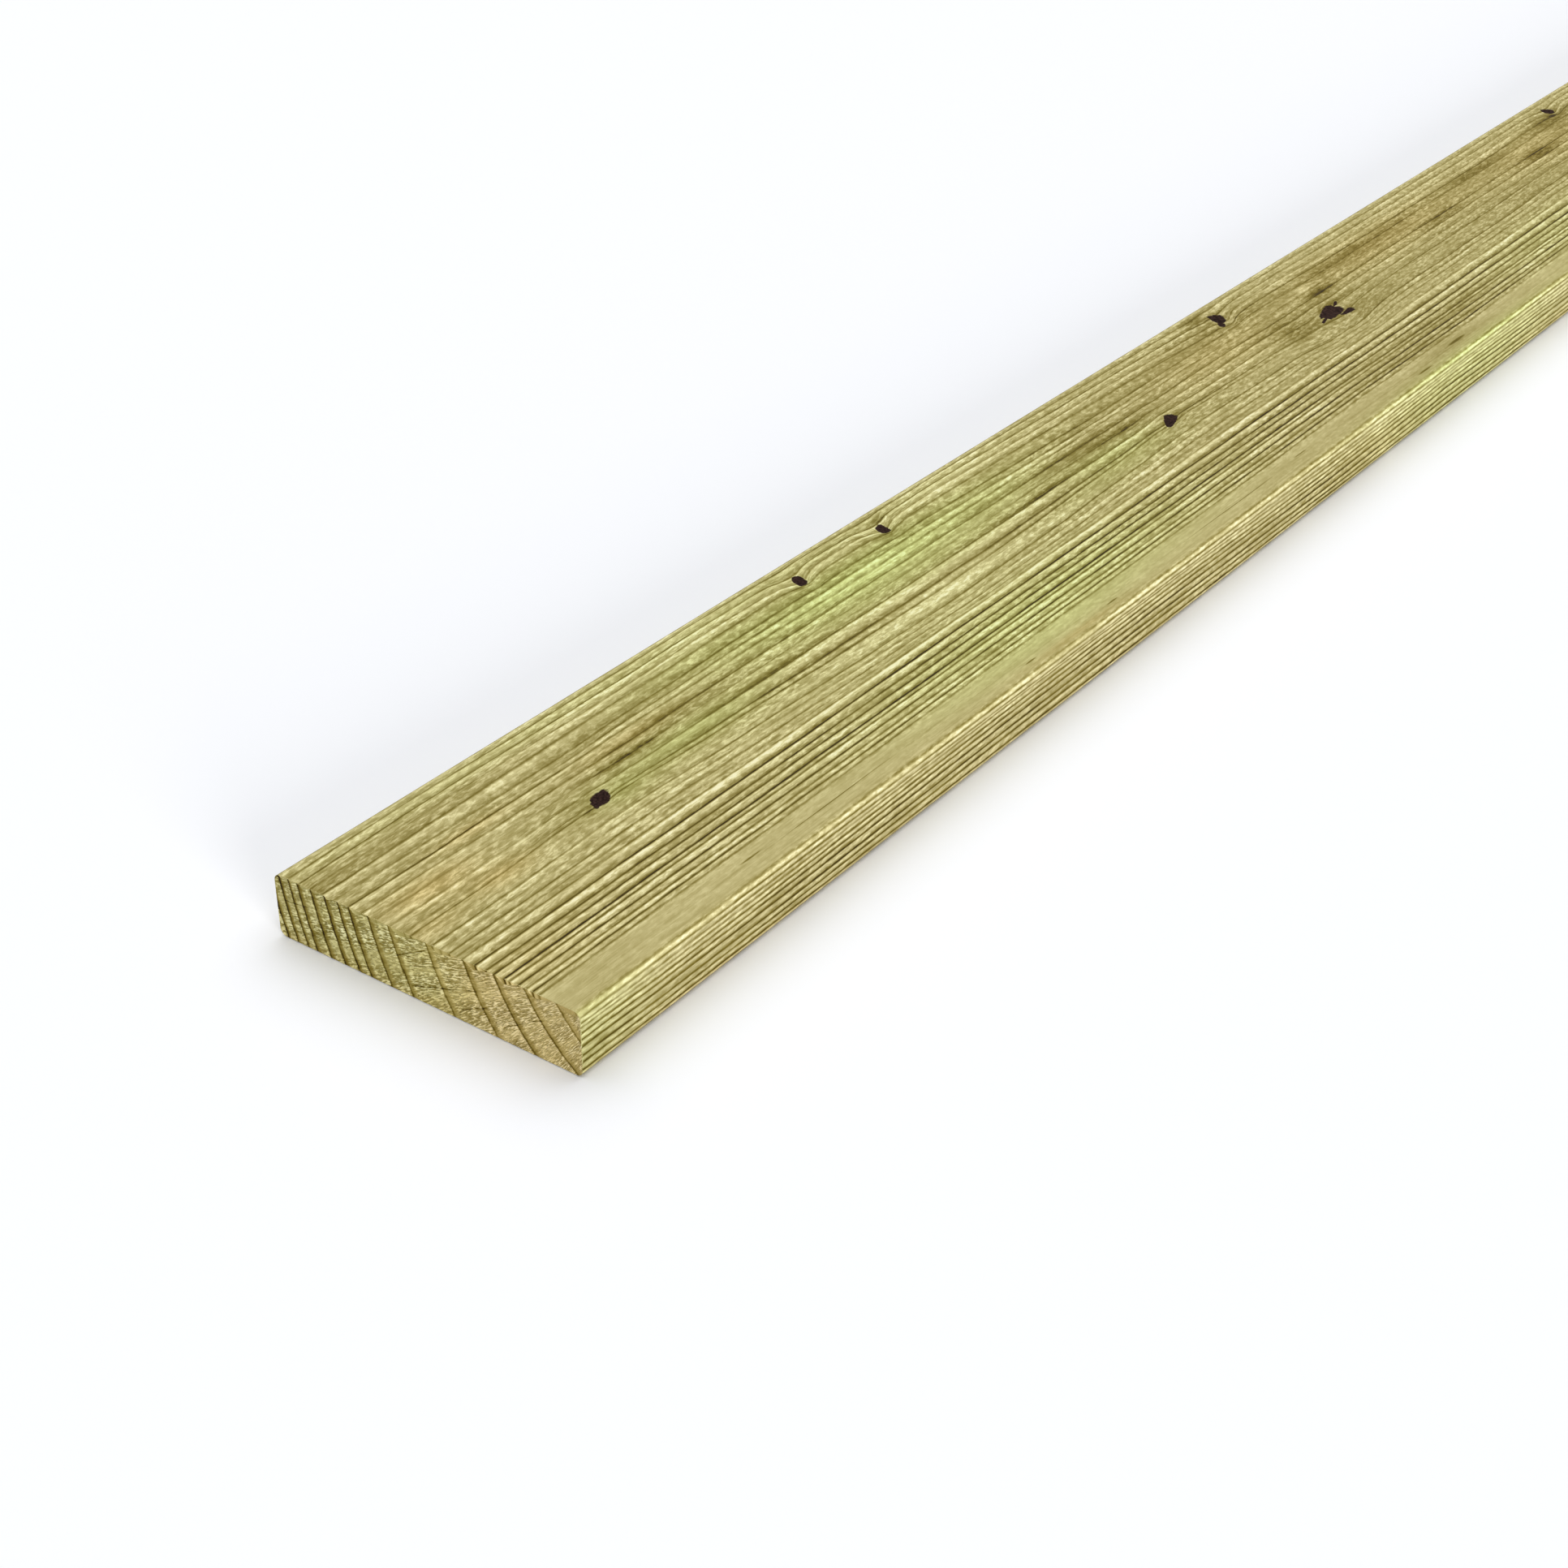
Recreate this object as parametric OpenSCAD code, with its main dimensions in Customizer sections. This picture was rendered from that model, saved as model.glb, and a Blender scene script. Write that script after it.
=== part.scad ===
// Plain decking board of planed softwood.
// One piece of stock: planed on both faces and both edges, its four long
// edges eased to a small radius, and its two ends cut square.
// Millimetres. X runs along the board, Y across it and Z up.
// The origin is the centre of the underside.

/* [Stock] */
// Length between the two sawn ends
board_length = 1800; // [300:100:6000]
// Finished width over the two planed edges
board_width = 144; // [70:1:245]
// Finished thickness from the underside to the walking face
board_thickness = 27; // [18:1:45]

/* [Eased edges] */
// Radius planed on the two long edges of the walking face
walking_edge_radius = 3; // [0.5:0.5:8]
// Radius planed on the two long edges of the underside
under_edge_radius = 3; // [0.5:0.5:8]

/* [Hidden] */

// Treated pine: pale yellow with a green cast
treated_pine = [0.71, 0.68, 0.44];

// The edge cutter's run beyond the faces that it eases
cutter_overrun = 1;

// Circle segments on the eased edges
$fn = 64;

// What the cutter takes off a sharp corner at the origin, whose faces run
// along +X and +Y: the corner square less the quarter round that it leaves.
module corner_waste(radius) {
    difference() {
        translate([-cutter_overrun, -cutter_overrun])
            square(radius + cutter_overrun);
        translate([radius, radius])
            circle(r = radius);
    }
}

// The waste of both long edges of one face, at the two sides of the section
module face_waste(radius) {
    for (side = [0, 1])
        mirror([side, 0])
            translate([-board_width / 2, 0])
                corner_waste(radius);
}

// Cross-section, centred on the width and standing on the underside:
// Y of the board is across and Z of the board is up.
module section() {
    difference() {
        translate([-board_width / 2, 0])
            square([board_width, board_thickness]);
        face_waste(under_edge_radius);
        translate([0, board_thickness])
            mirror([0, 1])
                face_waste(walking_edge_radius);
    }
}

// The section run along X and cut square at both ends
module board() {
    color(treated_pine)
        translate([-board_length / 2, 0, 0])
            rotate([90, 0, 90])
                linear_extrude(height = board_length)
                    section();
}

board();
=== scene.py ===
# %% [markdown]
# # A treated softwood decking board
# One planed board of pressure-treated pine, 27 mm thick, with its four long arrises eased.
# The construction model already gives its true size. This lesson dresses it: the rings, the
# knots and the fibres of the wood, the green-brown tint of the treatment, and the sawn ends.
# Everything is worked out from the model's own sizes, so the cells can be read from top to end.

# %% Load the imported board
import math

import bpy
import numpy as np
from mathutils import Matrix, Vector


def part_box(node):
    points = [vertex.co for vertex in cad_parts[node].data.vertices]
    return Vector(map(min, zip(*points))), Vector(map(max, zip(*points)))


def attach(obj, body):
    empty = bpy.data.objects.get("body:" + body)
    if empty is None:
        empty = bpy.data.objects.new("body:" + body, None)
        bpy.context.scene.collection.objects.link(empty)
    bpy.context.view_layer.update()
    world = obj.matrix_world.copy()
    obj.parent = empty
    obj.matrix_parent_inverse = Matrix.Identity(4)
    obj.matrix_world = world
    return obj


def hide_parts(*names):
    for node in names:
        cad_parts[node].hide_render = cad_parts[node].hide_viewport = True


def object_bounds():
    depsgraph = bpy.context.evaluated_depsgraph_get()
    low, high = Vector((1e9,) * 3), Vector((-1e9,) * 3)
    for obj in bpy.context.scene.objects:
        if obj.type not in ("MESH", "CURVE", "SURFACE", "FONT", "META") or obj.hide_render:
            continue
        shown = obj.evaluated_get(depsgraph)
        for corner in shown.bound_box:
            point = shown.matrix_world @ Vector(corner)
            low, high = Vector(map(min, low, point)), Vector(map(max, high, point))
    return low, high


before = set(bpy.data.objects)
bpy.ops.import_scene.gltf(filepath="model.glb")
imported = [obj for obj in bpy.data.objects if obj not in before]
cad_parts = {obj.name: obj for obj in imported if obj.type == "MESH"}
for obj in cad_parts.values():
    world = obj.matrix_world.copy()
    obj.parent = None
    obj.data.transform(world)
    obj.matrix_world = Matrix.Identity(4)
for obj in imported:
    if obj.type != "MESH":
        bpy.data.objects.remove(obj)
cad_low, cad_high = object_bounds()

print("board box in metres:", list(cad_low), list(cad_high))

# %% [markdown]
# ## The camera and the studio
# The board is seen from above its near end, running away to the upper right. The camera was
# found from the board's own straight edges, so it is written as a place, a heading and a lens.
# A product picture of this kind stands on white: the floor and the world are white to the
# camera, while the lamps stay at a plain level and the floor keeps the board's soft shadow.

# %% Camera
CAMERA_PLACE = (-1.4168, -0.5350, 0.5402)
CAMERA_HEADING = 36.2404
CAMERA_DIP = 31.5237
CAMERA_LENS = 59.185
CAMERA_SENSOR = 36.0

camera_data = bpy.data.cameras.new("camera")
camera_data.lens = CAMERA_LENS
camera_data.sensor_width = CAMERA_SENSOR
camera_data.clip_start = 0.01
camera = bpy.data.objects.new("camera", camera_data)
camera.location = CAMERA_PLACE
camera.rotation_euler = (
    math.radians(90 - CAMERA_DIP),
    0,
    math.radians(CAMERA_HEADING - 90),
)
bpy.context.scene.collection.objects.link(camera)
bpy.context.scene.camera = camera
print("the camera stands", round(Vector(CAMERA_PLACE).length, 2), "m from the board's middle")

# %% [markdown]
# A shader is a tree of nodes. A few small helpers keep the trees readable: one adds a node with
# its settings and inputs, and the others do sums and mixes with it. Numbers and sockets can both
# be given as inputs.

# %% Helpers for shader trees
def add_node(tree, kind, inputs=(), output=0, **settings):
    """Adds a shader node, fills its inputs in order or by name, and hands back one output."""
    node = tree.nodes.new("ShaderNode" + kind)
    for name, value in settings.items():
        setattr(node, name, value)
    filled = inputs.items() if isinstance(inputs, dict) else enumerate(inputs)
    for key, value in filled:
        if isinstance(value, bpy.types.NodeSocket):
            tree.links.new(value, node.inputs[key])
        else:
            node.inputs[key].default_value = value
    return node.outputs[output]


def sum_of(tree, operation, *values):
    """A Math node: ADD, MULTIPLY, POWER and so on."""
    return add_node(tree, "Math", values, operation=operation)


def fade(tree, value, start, end, low=0.0, high=1.0):
    """Goes smoothly from low to high as value goes from start to end."""
    ends = {"Value": value, "From Min": start, "From Max": end, "To Min": low, "To Max": high}
    return add_node(tree, "MapRange", ends, interpolation_type="SMOOTHSTEP")


def blend(tree, share, first, second, how="MIX"):
    """Mixes two colours, each a socket or four numbers."""
    return add_node(tree, "Mix", {0: share, 6: first, 7: second}, 2, data_type="RGBA", blend_type=how)


def between(tree, share, first, second):
    """Mixes two numbers."""
    return add_node(tree, "Mix", {0: share, 2: first, 3: second}, data_type="FLOAT")


def layered(tree, tone, layers):
    """Adds effects to a tone, each times its own weight."""
    for effect, weight in layers:
        tone = sum_of(tree, "MULTIPLY_ADD", effect, weight, tone)
    return tone


def colour(red, green, blue):
    """A colour read off a screen, 0 to 255, as the linear numbers that a shader wants."""
    parts = [c / 255 for c in (red, green, blue)]
    linear = [p / 12.92 if p <= 0.04045 else ((p + 0.055) / 1.055) ** 2.4 for p in parts]
    return (*linear, 1.0)


def new_material(name):
    """An empty material and its tree, with the output and the Principled shader already joined."""
    material = bpy.data.materials.new(name)
    material.use_nodes = True
    shader = material.node_tree.nodes["Principled BSDF"]
    return material, material.node_tree, shader


# %% White floor and white world
FLOOR_SIZE = 30.0
FLOOR_WHITE = 0.985
FLOOR_BOUNCE = 0.92
SKY_LEVEL = 0.24
SKY_TINT = (0.91, 0.97, 1.11, 1.0)


def seen_directly(tree):
    """1 for what the camera, a reflection or glass sees, 0 for light that bounces."""
    path = tree.nodes.new("ShaderNodeLightPath")
    seen = sum_of(tree, "MAXIMUM", path.outputs["Is Camera Ray"], path.outputs["Is Glossy Ray"])
    return sum_of(tree, "MAXIMUM", seen, path.outputs["Is Transmission Ray"])


def lay_floor():
    """A pale floor under the board, which only catches its shadow."""
    half = FLOOR_SIZE / 2
    mesh = bpy.data.meshes.new("floor")
    corners = [(-half, -half, 0), (half, -half, 0), (half, half, 0), (-half, half, 0)]
    mesh.from_pydata(corners, [], [(0, 1, 2, 3)])
    floor = bpy.data.objects.new("floor", mesh)
    floor.location.z = cad_low.z - 0.0002
    bpy.context.scene.collection.objects.link(floor)
    material, tree, shader = new_material("floor_paint")
    bounce = (FLOOR_BOUNCE, FLOOR_BOUNCE, FLOOR_BOUNCE, 1)
    white = (FLOOR_WHITE, FLOOR_WHITE, FLOOR_WHITE, 1)
    tree.links.new(blend(tree, seen_directly(tree), bounce, white), shader.inputs["Base Color"])
    shader.inputs["Roughness"].default_value = 1.0
    shader.inputs["Specular IOR Level"].default_value = 0.0
    mesh.materials.append(material)


def hang_sky():
    """An even white all round, dimmer as a lamp than it looks."""
    world = bpy.data.worlds.new("studio")
    world.use_nodes = True
    tree = world.node_tree
    sky = tree.nodes["Background"]
    seen = seen_directly(tree)
    tree.links.new(blend(tree, seen, SKY_TINT, (1, 1, 1, 1)), sky.inputs["Color"])
    level = {"Value": seen, "To Min": SKY_LEVEL, "To Max": 1.0}
    tree.links.new(add_node(tree, "MapRange", level), sky.inputs["Strength"])
    bpy.context.scene.world = world


lay_floor()
hang_sky()
bpy.context.scene.view_settings.view_transform = "Standard"
print("floor and sky stand ready, the sky at", SKY_LEVEL, "of plain white")

# %% [markdown]
# Two lamps do the rest. A wide soft box overhead gives the floor its short, tight shadow. A low
# fill from the near side hardly touches the floor, but it lights the near edge and rakes over
# the walking face, so the raised grain shows. Each level is what the lamp adds on level ground.

# %% Two soft lamps
BOX_LEVEL = 0.565
BOX_FROM = Vector((0.30, 0.22, 1.0))
BOX_WIDTH = 85
FILL_LEVEL = 0.13
FILL_FROM = Vector((-0.42, -0.90, 0.21))
FILL_WIDTH = 24


def add_lamp(name, toward, width, level):
    """A distant round lamp of a given apparent width, set so that level ground gets its level."""
    toward = toward.normalized()
    half = math.radians(width / 2)
    spread = math.sin(half) ** 2 / (2 - 2 * math.cos(half))
    data = bpy.data.lights.new(name, "SUN")
    data.angle = 2 * half
    data.energy = level * math.pi / (toward.z * spread)
    lamp = bpy.data.objects.new(name, data)
    lamp.rotation_euler = toward.to_track_quat("Z", "Y").to_euler()
    bpy.context.scene.collection.objects.link(lamp)


add_lamp("soft_box", BOX_FROM, BOX_WIDTH, BOX_LEVEL)
add_lamp("low_fill", FILL_FROM, FILL_WIDTH, FILL_LEVEL)
print("light on level ground:", round(SKY_LEVEL + BOX_LEVEL + FILL_LEVEL, 2), "of plain white")

# %% [markdown]
# ## The board's section
# A planer gives the board one section all along: flat faces joined by quarter rounds. From here
# on lengths are in millimetres, because ring widths and knots are easier to think of that way.
# Three directions are used: along from the near end, across from the far edge, and depth down
# from the walking face. The round's radius is read from the loaded model, not written twice.

# %% Sizes of the section
MM = 1000.0
board_low, board_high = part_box("board")
LENGTH, WIDTH, THICKNESS = [(b - a) * MM for a, b in zip(board_low, board_high)]


def measure_round():
    """The radius of the eased edge: how far the flat of the walking face stops short of the side."""
    corners = [v.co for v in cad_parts["board"].data.vertices]
    flat = max(c.y for c in corners if c.z > board_high.z - 1e-6)
    return (board_high.y - flat) * MM


ROUND = measure_round()
ARC = ROUND * math.pi / 2
FACE = WIDTH - 2 * ROUND
EDGE = THICKNESS - 2 * ROUND
print(f"section {WIDTH:.1f} x {THICKNESS:.1f} mm, rounds of {ROUND:.2f} mm, length {LENGTH:.0f} mm")

# %% [markdown]
# The skin is one strip wrapped round the section, so a place on it needs only two numbers: along
# the board, and the distance round the section. The walk starts on the far edge and goes over
# the walking face, down the near edge, back along the underside and up the far edge. A rounded
# rectangle is a smaller sharp one pushed out by the radius, which makes the walk a short table.

# %% The walk round the section
STRETCHES = [0, ARC, FACE, ARC, EDGE, ARC, FACE, ARC, EDGE]
CORE_STOPS = np.cumsum(STRETCHES)
ROUND_TRIP = CORE_STOPS[-1]
TOP_START, TOP_END = CORE_STOPS[1], CORE_STOPS[2]
NEAR_START, NEAR_END = CORE_STOPS[3], CORE_STOPS[4]
UNDER_START, UNDER_END = CORE_STOPS[5], CORE_STOPS[6]
FAR_START, FAR_END = CORE_STOPS[7], CORE_STOPS[8]
CORE_ACROSS = [ROUND] * 2 + [WIDTH - ROUND] * 4 + [ROUND] * 3
CORE_DEPTH = [ROUND] * 4 + [THICKNESS - ROUND] * 4 + [ROUND]
CORE_FACING = np.radians([180, 90, 90, 0, 0, -90, -90, -180, -180])


def on_section(walk):
    """Across, depth and outward angle at a distance round the section."""
    facing = np.interp(walk, CORE_STOPS, CORE_FACING)
    across = np.interp(walk, CORE_STOPS, CORE_ACROSS) + ROUND * np.cos(facing)
    depth = np.interp(walk, CORE_STOPS, CORE_DEPTH) - ROUND * np.sin(facing)
    return across, depth, facing


def top_walk(across):
    """The walk to a place on the walking face."""
    return TOP_START + np.asarray(across, float) - ROUND


def near_walk(depth):
    """The walk to a depth on the near edge."""
    return NEAR_START + np.asarray(depth, float) - ROUND


def under_walk(across):
    """The walk to a place on the underside, which is crossed the other way."""
    return UNDER_START + WIDTH - ROUND - np.asarray(across, float)


def far_walk(depth):
    """The walk to a depth on the far edge, going up."""
    return FAR_START + THICKNESS - ROUND - np.asarray(depth, float)


print(f"one trip round the section is {ROUND_TRIP:.1f} mm")

# %% [markdown]
# ## The rings
# Each year a pine lays down pale soft wood in spring and a thin dark band in late summer. On a
# planed face the bands show as lines: a slow darkening, a dark line, then at once the pale wood
# of the next year. Each row below is one dark line of the walking face: its place at the near
# end, how dark it is, and how pale the spring wood after it is. Both are given near the end, a
# third of the way along, and beyond the middle. The tight rings lie towards the near edge.

# %% Ring lines of the walking face
RINGS = [
    (6.8, (0.58, 0.90, 0.50), (0.40, 0.50, 0.55)),
    (12.6, (0.95, 0.80, 0.55), (0.00, 0.85, 0.50)),
    (18.9, (0.38, 0.42, 0.30), (-0.30, 0.90, 0.60)),
    (24.7, (0.70, 0.60, 0.80), (0.95, 0.10, -0.10)),
    (30.4, (0.40, 0.75, 0.50), (0.30, 0.10, 0.10)),
    (34.2, (0.05, 0.58, 0.05), (0.05, 0.85, 0.05)),
    (37.6, (1.20, 0.40, 0.38), (0.75, 0.55, -0.05)),
    (44.2, (0.48, 0.72, 0.80), (0.60, 0.55, 0.20)),
    (50.6, (0.32, 0.52, 0.65), (0.00, 0.10, 0.60)),
    (57.5, (0.22, 0.72, 0.45), (0.50, 0.95, 0.30)),
    (64.7, (0.32, 1.10, 0.65), (0.10, 0.25, 0.15)),
    (67.4, (0.76, 0.75, 0.12), (0.15, 0.20, 0.20)),
    (77.3, (0.65, 0.80, 0.80), (0.45, 0.30, 0.30)),
    (81.2, (0.30, 0.30, 0.45), (0.25, 0.75, 0.40)),
    (85.5, (0.70, 0.52, 0.45), (0.50, 0.40, 0.25)),
    (88.9, (0.34, 0.20, 0.12), (0.10, 0.30, 0.15)),
    (91.6, (0.60, 0.36, 0.35), (0.95, 1.70, 1.05)),
    (97.4, (1.25, 1.62, 1.25), (1.30, 0.95, 1.00)),
    (102.5, (1.15, 1.16, 1.42), (0.30, 0.25, 0.70)),
    (106.2, (1.12, 1.15, 1.00), (1.15, 0.80, 0.40)),
    (110.8, (1.42, 1.60, 0.88), (0.85, 0.50, 0.95)),
    (113.1, (0.72, 0.80, 0.65), (1.20, 1.30, 0.60)),
    (117.1, (1.16, 1.20, 1.35), (0.65, 0.65, 0.85)),
    (120.6, (0.68, 0.66, 0.78), (1.30, 1.05, 0.20)),
    (123.4, (1.10, 1.00, 1.20), (0.50, 0.70, 0.35)),
    (126.3, (0.52, 0.45, 0.35), (0.30, 0.25, 0.25)),
    (134.2, (0.12, 0.12, 0.12), (0.05, 0.05, 0.05)),
    (139.8, (0.08, 0.08, 0.08), (0.05, 0.05, 0.05)),
]
RING_STATIONS = [60, 170, 520, 700]
RING_LINES = [row[0] for row in RINGS]
EDGE_LINES = [4.6, 6.4, 8.7, 11.2, 14.2, 17.9, 20.7, 23.8]
EDGE_STRENGTH = [0.60, 0.50, 0.80, 0.80, 1.00, 0.95, 0.85, 0.95]
EDGE_GAIN = [1.0, 1.12, 1.12]
EDGE_SPRING = 0.60
ARC_PARTS = 6
ARC_LINES = [(2, 4), (2, 5), (3, 5), (2, 4)]
ARC_STRENGTH = [0.40, 0.50, 0.35, 0.80, 0.70, 0.50, 0.50, 0.50]
ARC_SPRING = 0.60
UNDER_LEAN = 5.0


def lean(across):
    """Where a ring line of the walking face comes out on the underside."""
    across = np.asarray(across, float)
    return across + UNDER_LEAN * np.sin(np.pi * (across - ROUND) / FACE)


def in_walking_order():
    """All lines round the section, with dark and pale each as near, middle and far values."""
    face_dark = np.array([row[1] for row in RINGS])
    face_pale = np.array([row[2] for row in RINGS])
    edge_dark = np.outer(EDGE_STRENGTH, EDGE_GAIN)
    edge_pale = np.full((len(EDGE_LINES), 3), EDGE_SPRING)
    arc_dark = np.repeat(np.array(ARC_STRENGTH)[:, None], 3, 1)
    arc_pale = np.full((len(ARC_STRENGTH), 3), ARC_SPRING)
    starts = (0, TOP_END, NEAR_END, UNDER_END)
    arc_walks = [start + ARC * part / ARC_PARTS for start, parts in zip(starts, ARC_LINES) for part in parts]
    walks = np.concatenate([
        top_walk(RING_LINES), near_walk(EDGE_LINES), under_walk(lean(RING_LINES)), far_walk(EDGE_LINES),
        arc_walks])
    dark = np.concatenate([face_dark, edge_dark, face_dark, edge_dark, arc_dark])
    pale = np.concatenate([face_pale, edge_pale, face_pale, edge_pale, arc_pale])
    order = np.argsort(walks)
    return walks[order], dark[order], pale[order]


line_walks, line_dark, line_pale = in_walking_order()
closest = np.diff(line_walks).min()
print(len(line_walks), "ring lines round the section, the closest", round(closest, 2), "mm apart")

# %% [markdown]
# ## The mesh follows the rings
# Raised grain is real relief: the dark late wood stands a little proud and drops off sharply at
# the year's end. A plain grid would blur that step, so the mesh is laid out from the ring lines:
# a row of vertices on each line, one at the foot of its step, and a few between. The same rows
# serve the walking face and the underside, which lets the sawn ends be closed with a neat grid.

# %% Rows of vertices across the board
STEP_FOOT = 1.0
RISE = 1.2
WIDEST_GAP = 3.0


def rows_between(lines, start, end, widest):
    """Places from start to end with a row on each line, at its foot, before its rise, and between."""
    stops = [start]
    for before, line in zip([start, *lines], [*lines, end]):
        foot = before + STEP_FOOT
        rise = line - RISE
        if before > start and line - foot > STEP_FOOT / 2:
            stops.append(foot)
        if rise - stops[-1] > STEP_FOOT / 2:
            parts = max(1, math.ceil((rise - stops[-1]) / widest))
            stops.extend(np.linspace(stops[-1], rise, parts + 1)[1:])
        stops.append(line)
    return np.array(stops)


top_rows = rows_between(RING_LINES, ROUND, WIDTH - ROUND, WIDEST_GAP)
edge_rows = rows_between(EDGE_LINES, ROUND, THICKNESS - ROUND, WIDEST_GAP)
print(len(top_rows), "rows across a face and", len(edge_rows), "down an edge")

# %% The strip's own rows, in walking order
arc_parts = np.arange(1, ARC_PARTS) / ARC_PARTS
walk_rows = np.concatenate([
    [0], arc_parts * ARC,
    top_walk(top_rows),
    TOP_END + arc_parts * ARC,
    near_walk(edge_rows),
    NEAR_END + arc_parts * ARC,
    under_walk(lean(top_rows[::-1])),
    UNDER_END + arc_parts * ARC,
    far_walk(edge_rows[::-1][:-1]),
])
COLUMNS = len(top_rows) + 2 * ARC_PARTS
LEVELS = len(edge_rows)
AROUND = len(walk_rows)
print(AROUND, "rows round the section:", COLUMNS, "columns by", LEVELS, "levels")

# %% [markdown]
# ## Knots
# A knot is a branch cut through. The trunk's fibres flow round it like water round a stone, so
# the ring lines bend aside close to it and lean towards it further off. These knots are small,
# dead and nearly black. Each entry is a place, half sizes, a tilt, and how it bends the lines.

# %% The knots in view, and plausible ones beyond and below
class Knot:
    """A knot's place and size in mm, its tilt in degrees, and its pull on the rings round it."""

    def __init__(self, along, walk, half_long, half_wide, tilt, pull=0.0, reach=(30, 14), wrap=0.3,
                 shear=0.0, taper=0.0):
        self.along = along
        self.walk = float(walk)
        self.half_long = half_long
        self.half_wide = half_wide
        self.tilt = math.radians(tilt)
        self.pull = pull
        self.reach = reach
        self.wrap = wrap
        self.shear = shear
        self.taper = taper

    def local(self, along, walk):
        """Places in the knot's own axes, in units of its half sizes."""
        da, dw = along - self.along, walk - self.walk
        wide = dw * math.cos(self.tilt) - da * math.sin(self.tilt)
        long = da * math.cos(self.tilt) + dw * math.sin(self.tilt) - self.shear * wide
        long = long / self.half_long
        return long, wide / (self.half_wide * np.clip(1 + self.taper * long, 0.3, 1.7))


KNOTS = [
    Knot(108.6, top_walk(62.5), 5.0, 4.1, 4, pull=-0.6, reach=(24, 12), shear=-0.65),
    Knot(299.2, top_walk(17.3), 3.1, 4.4, 0, pull=4.6, reach=(10, 9), shear=-0.35),
    Knot(363.3, top_walk(17.2), 3.1, 4.1, 0, pull=4.6, reach=(10, 9), shear=-0.30, taper=0.15),
    Knot(548.0, top_walk(63.1), 8.4, 2.9, -25, pull=-0.8, reach=(26, 12), taper=0.48),
    Knot(683.8, top_walk(17.2), 5.8, 4.3, -55, pull=4.6, reach=(14, 9), taper=0.25),
    Knot(679.2, top_walk(21.4), 5.6, 2.0, -42),
    Knot(728.2, top_walk(62.1), 11.6, 5.0, -9, pull=2.0, reach=(38, 22), wrap=0.5, taper=0.25),
    Knot(715.0, top_walk(65.0), 5.0, 0.9, -14),
    Knot(741.0, top_walk(58.8), 4.6, 1.1, -24),
    Knot(735.6, top_walk(68.0), 7.0, 2.6, 8),
    Knot(1145.4, top_walk(16.5), 4.8, 4.2, -40, pull=4.0, reach=(14, 9), taper=0.2),
    Knot(1296.0, top_walk(61.0), 7.0, 4.0, -20, pull=-1.2, reach=(30, 14), taper=0.3),
    Knot(1472.0, top_walk(19.0), 3.6, 4.0, -8, pull=4.0, reach=(11, 9), shear=-0.3),
    Knot(1655.0, top_walk(66.0), 8.0, 4.4, -18, pull=1.2, reach=(34, 16), taper=0.3),
    Knot(96.0, under_walk(68.0), 6.6, 4.4, 12, pull=1.0, reach=(34, 16), taper=-0.3),
    Knot(312.0, under_walk(22.0), 4.0, 3.6, 20, pull=-3.6, reach=(12, 9), shear=0.3),
    Knot(556.0, under_walk(69.0), 7.0, 4.0, 18, pull=1.0, reach=(34, 16), taper=0.3),
    Knot(700.0, under_walk(20.0), 5.4, 3.6, 35, pull=-3.4, reach=(13, 9)),
    Knot(1052.0, under_walk(70.0), 9.0, 5.0, 10, pull=1.4, reach=(36, 20), taper=-0.3),
    Knot(1460.0, under_walk(26.0), 4.6, 3.8, 30, pull=-3.6, reach=(12, 9)),
]
print(len(KNOTS), "knots, the largest", 2 * max(k.half_long for k in KNOTS), "mm long")

# %% [markdown]
# ## How the lines wander
# A trunk tapers and bends, so a straight cut meets the rings at a changing angle. Towards a
# third of the way along, the wide rings of the middle open out and close again, even on both
# sides of that place. Beyond it they swing once more, less evenly. The swing is a short table of
# shares along the board, times how far each part of the face moves at most. A little smooth
# noise on top keeps any two lines from running parallel. It is seeded, so it never changes.

# %% Smooth noise, the same on every run
def soft_noise(first, second, first_size, second_size, seed):
    """Smooth random values from -1 to 1, with bumps of the given sizes in the two directions."""
    table = np.random.default_rng(seed).uniform(-1, 1, (64, 64))
    u, v = np.asarray(first) / first_size, np.asarray(second) / second_size
    i, j = np.floor(u).astype(int), np.floor(v).astype(int)
    fu, fv = u - i, v - j
    fu, fv = fu * fu * (3 - 2 * fu), fv * fv * (3 - 2 * fv)
    i0, i1, j0, j1 = i % 64, (i + 1) % 64, j % 64, (j + 1) % 64
    near = table[i0, j0] * (1 - fu) + table[i1, j0] * fu
    far = table[i0, j1] * (1 - fu) + table[i1, j1] * fu
    return near * (1 - fv) + far * fv


# %% Wander of the ring lines
FIGURE_MIDDLE = 331.0
SWING_ALONG = [0, 50, 100, 131, 162, 200, 242, 282, 331, 662, 690, 720,
               760, 800, 850, 940, 1000, 1060, 1120, 1200, 1320, 1460, 1600, 1800]
FAR_SWING = [0, 0.38, 0.60, 0.68, 0.75, 0.85, 1, 1, 1, 0, 0.40, 0.50,
             0.45, 0.25, 0.15, 0.10, 0.10, 0.35, 0.50, 0.6, 0.9, 0.6, 0.2, 0.4]
MIDDLE_SWING = [0, -0.15, -0.42, -0.35, 0, 0.22, 0.55, 0.72, 1, 0, 0.65, 0.55,
                -0.05, -0.12, -0.05, 0, -0.30, -0.3, 0.1, 0.4, 0.9, 0.3, -0.2, 0.3]
TIGHT_DRIFT_ALONG = [0, 200, 480, 640, 690, 760, 900, 1100, 1400, 1800]
TIGHT_DRIFT = [0, 0.2, 0.3, 0.2, 0.9, 1.7, 2.0, 2.2, 1.0, 1.4]
EDGE_DRIFT_ALONG = [0, 12, 40, 120, 210, 270, 400, 480, 560, 640, 700, 780, 850, 1000, 1200, 1500, 1800]
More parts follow.
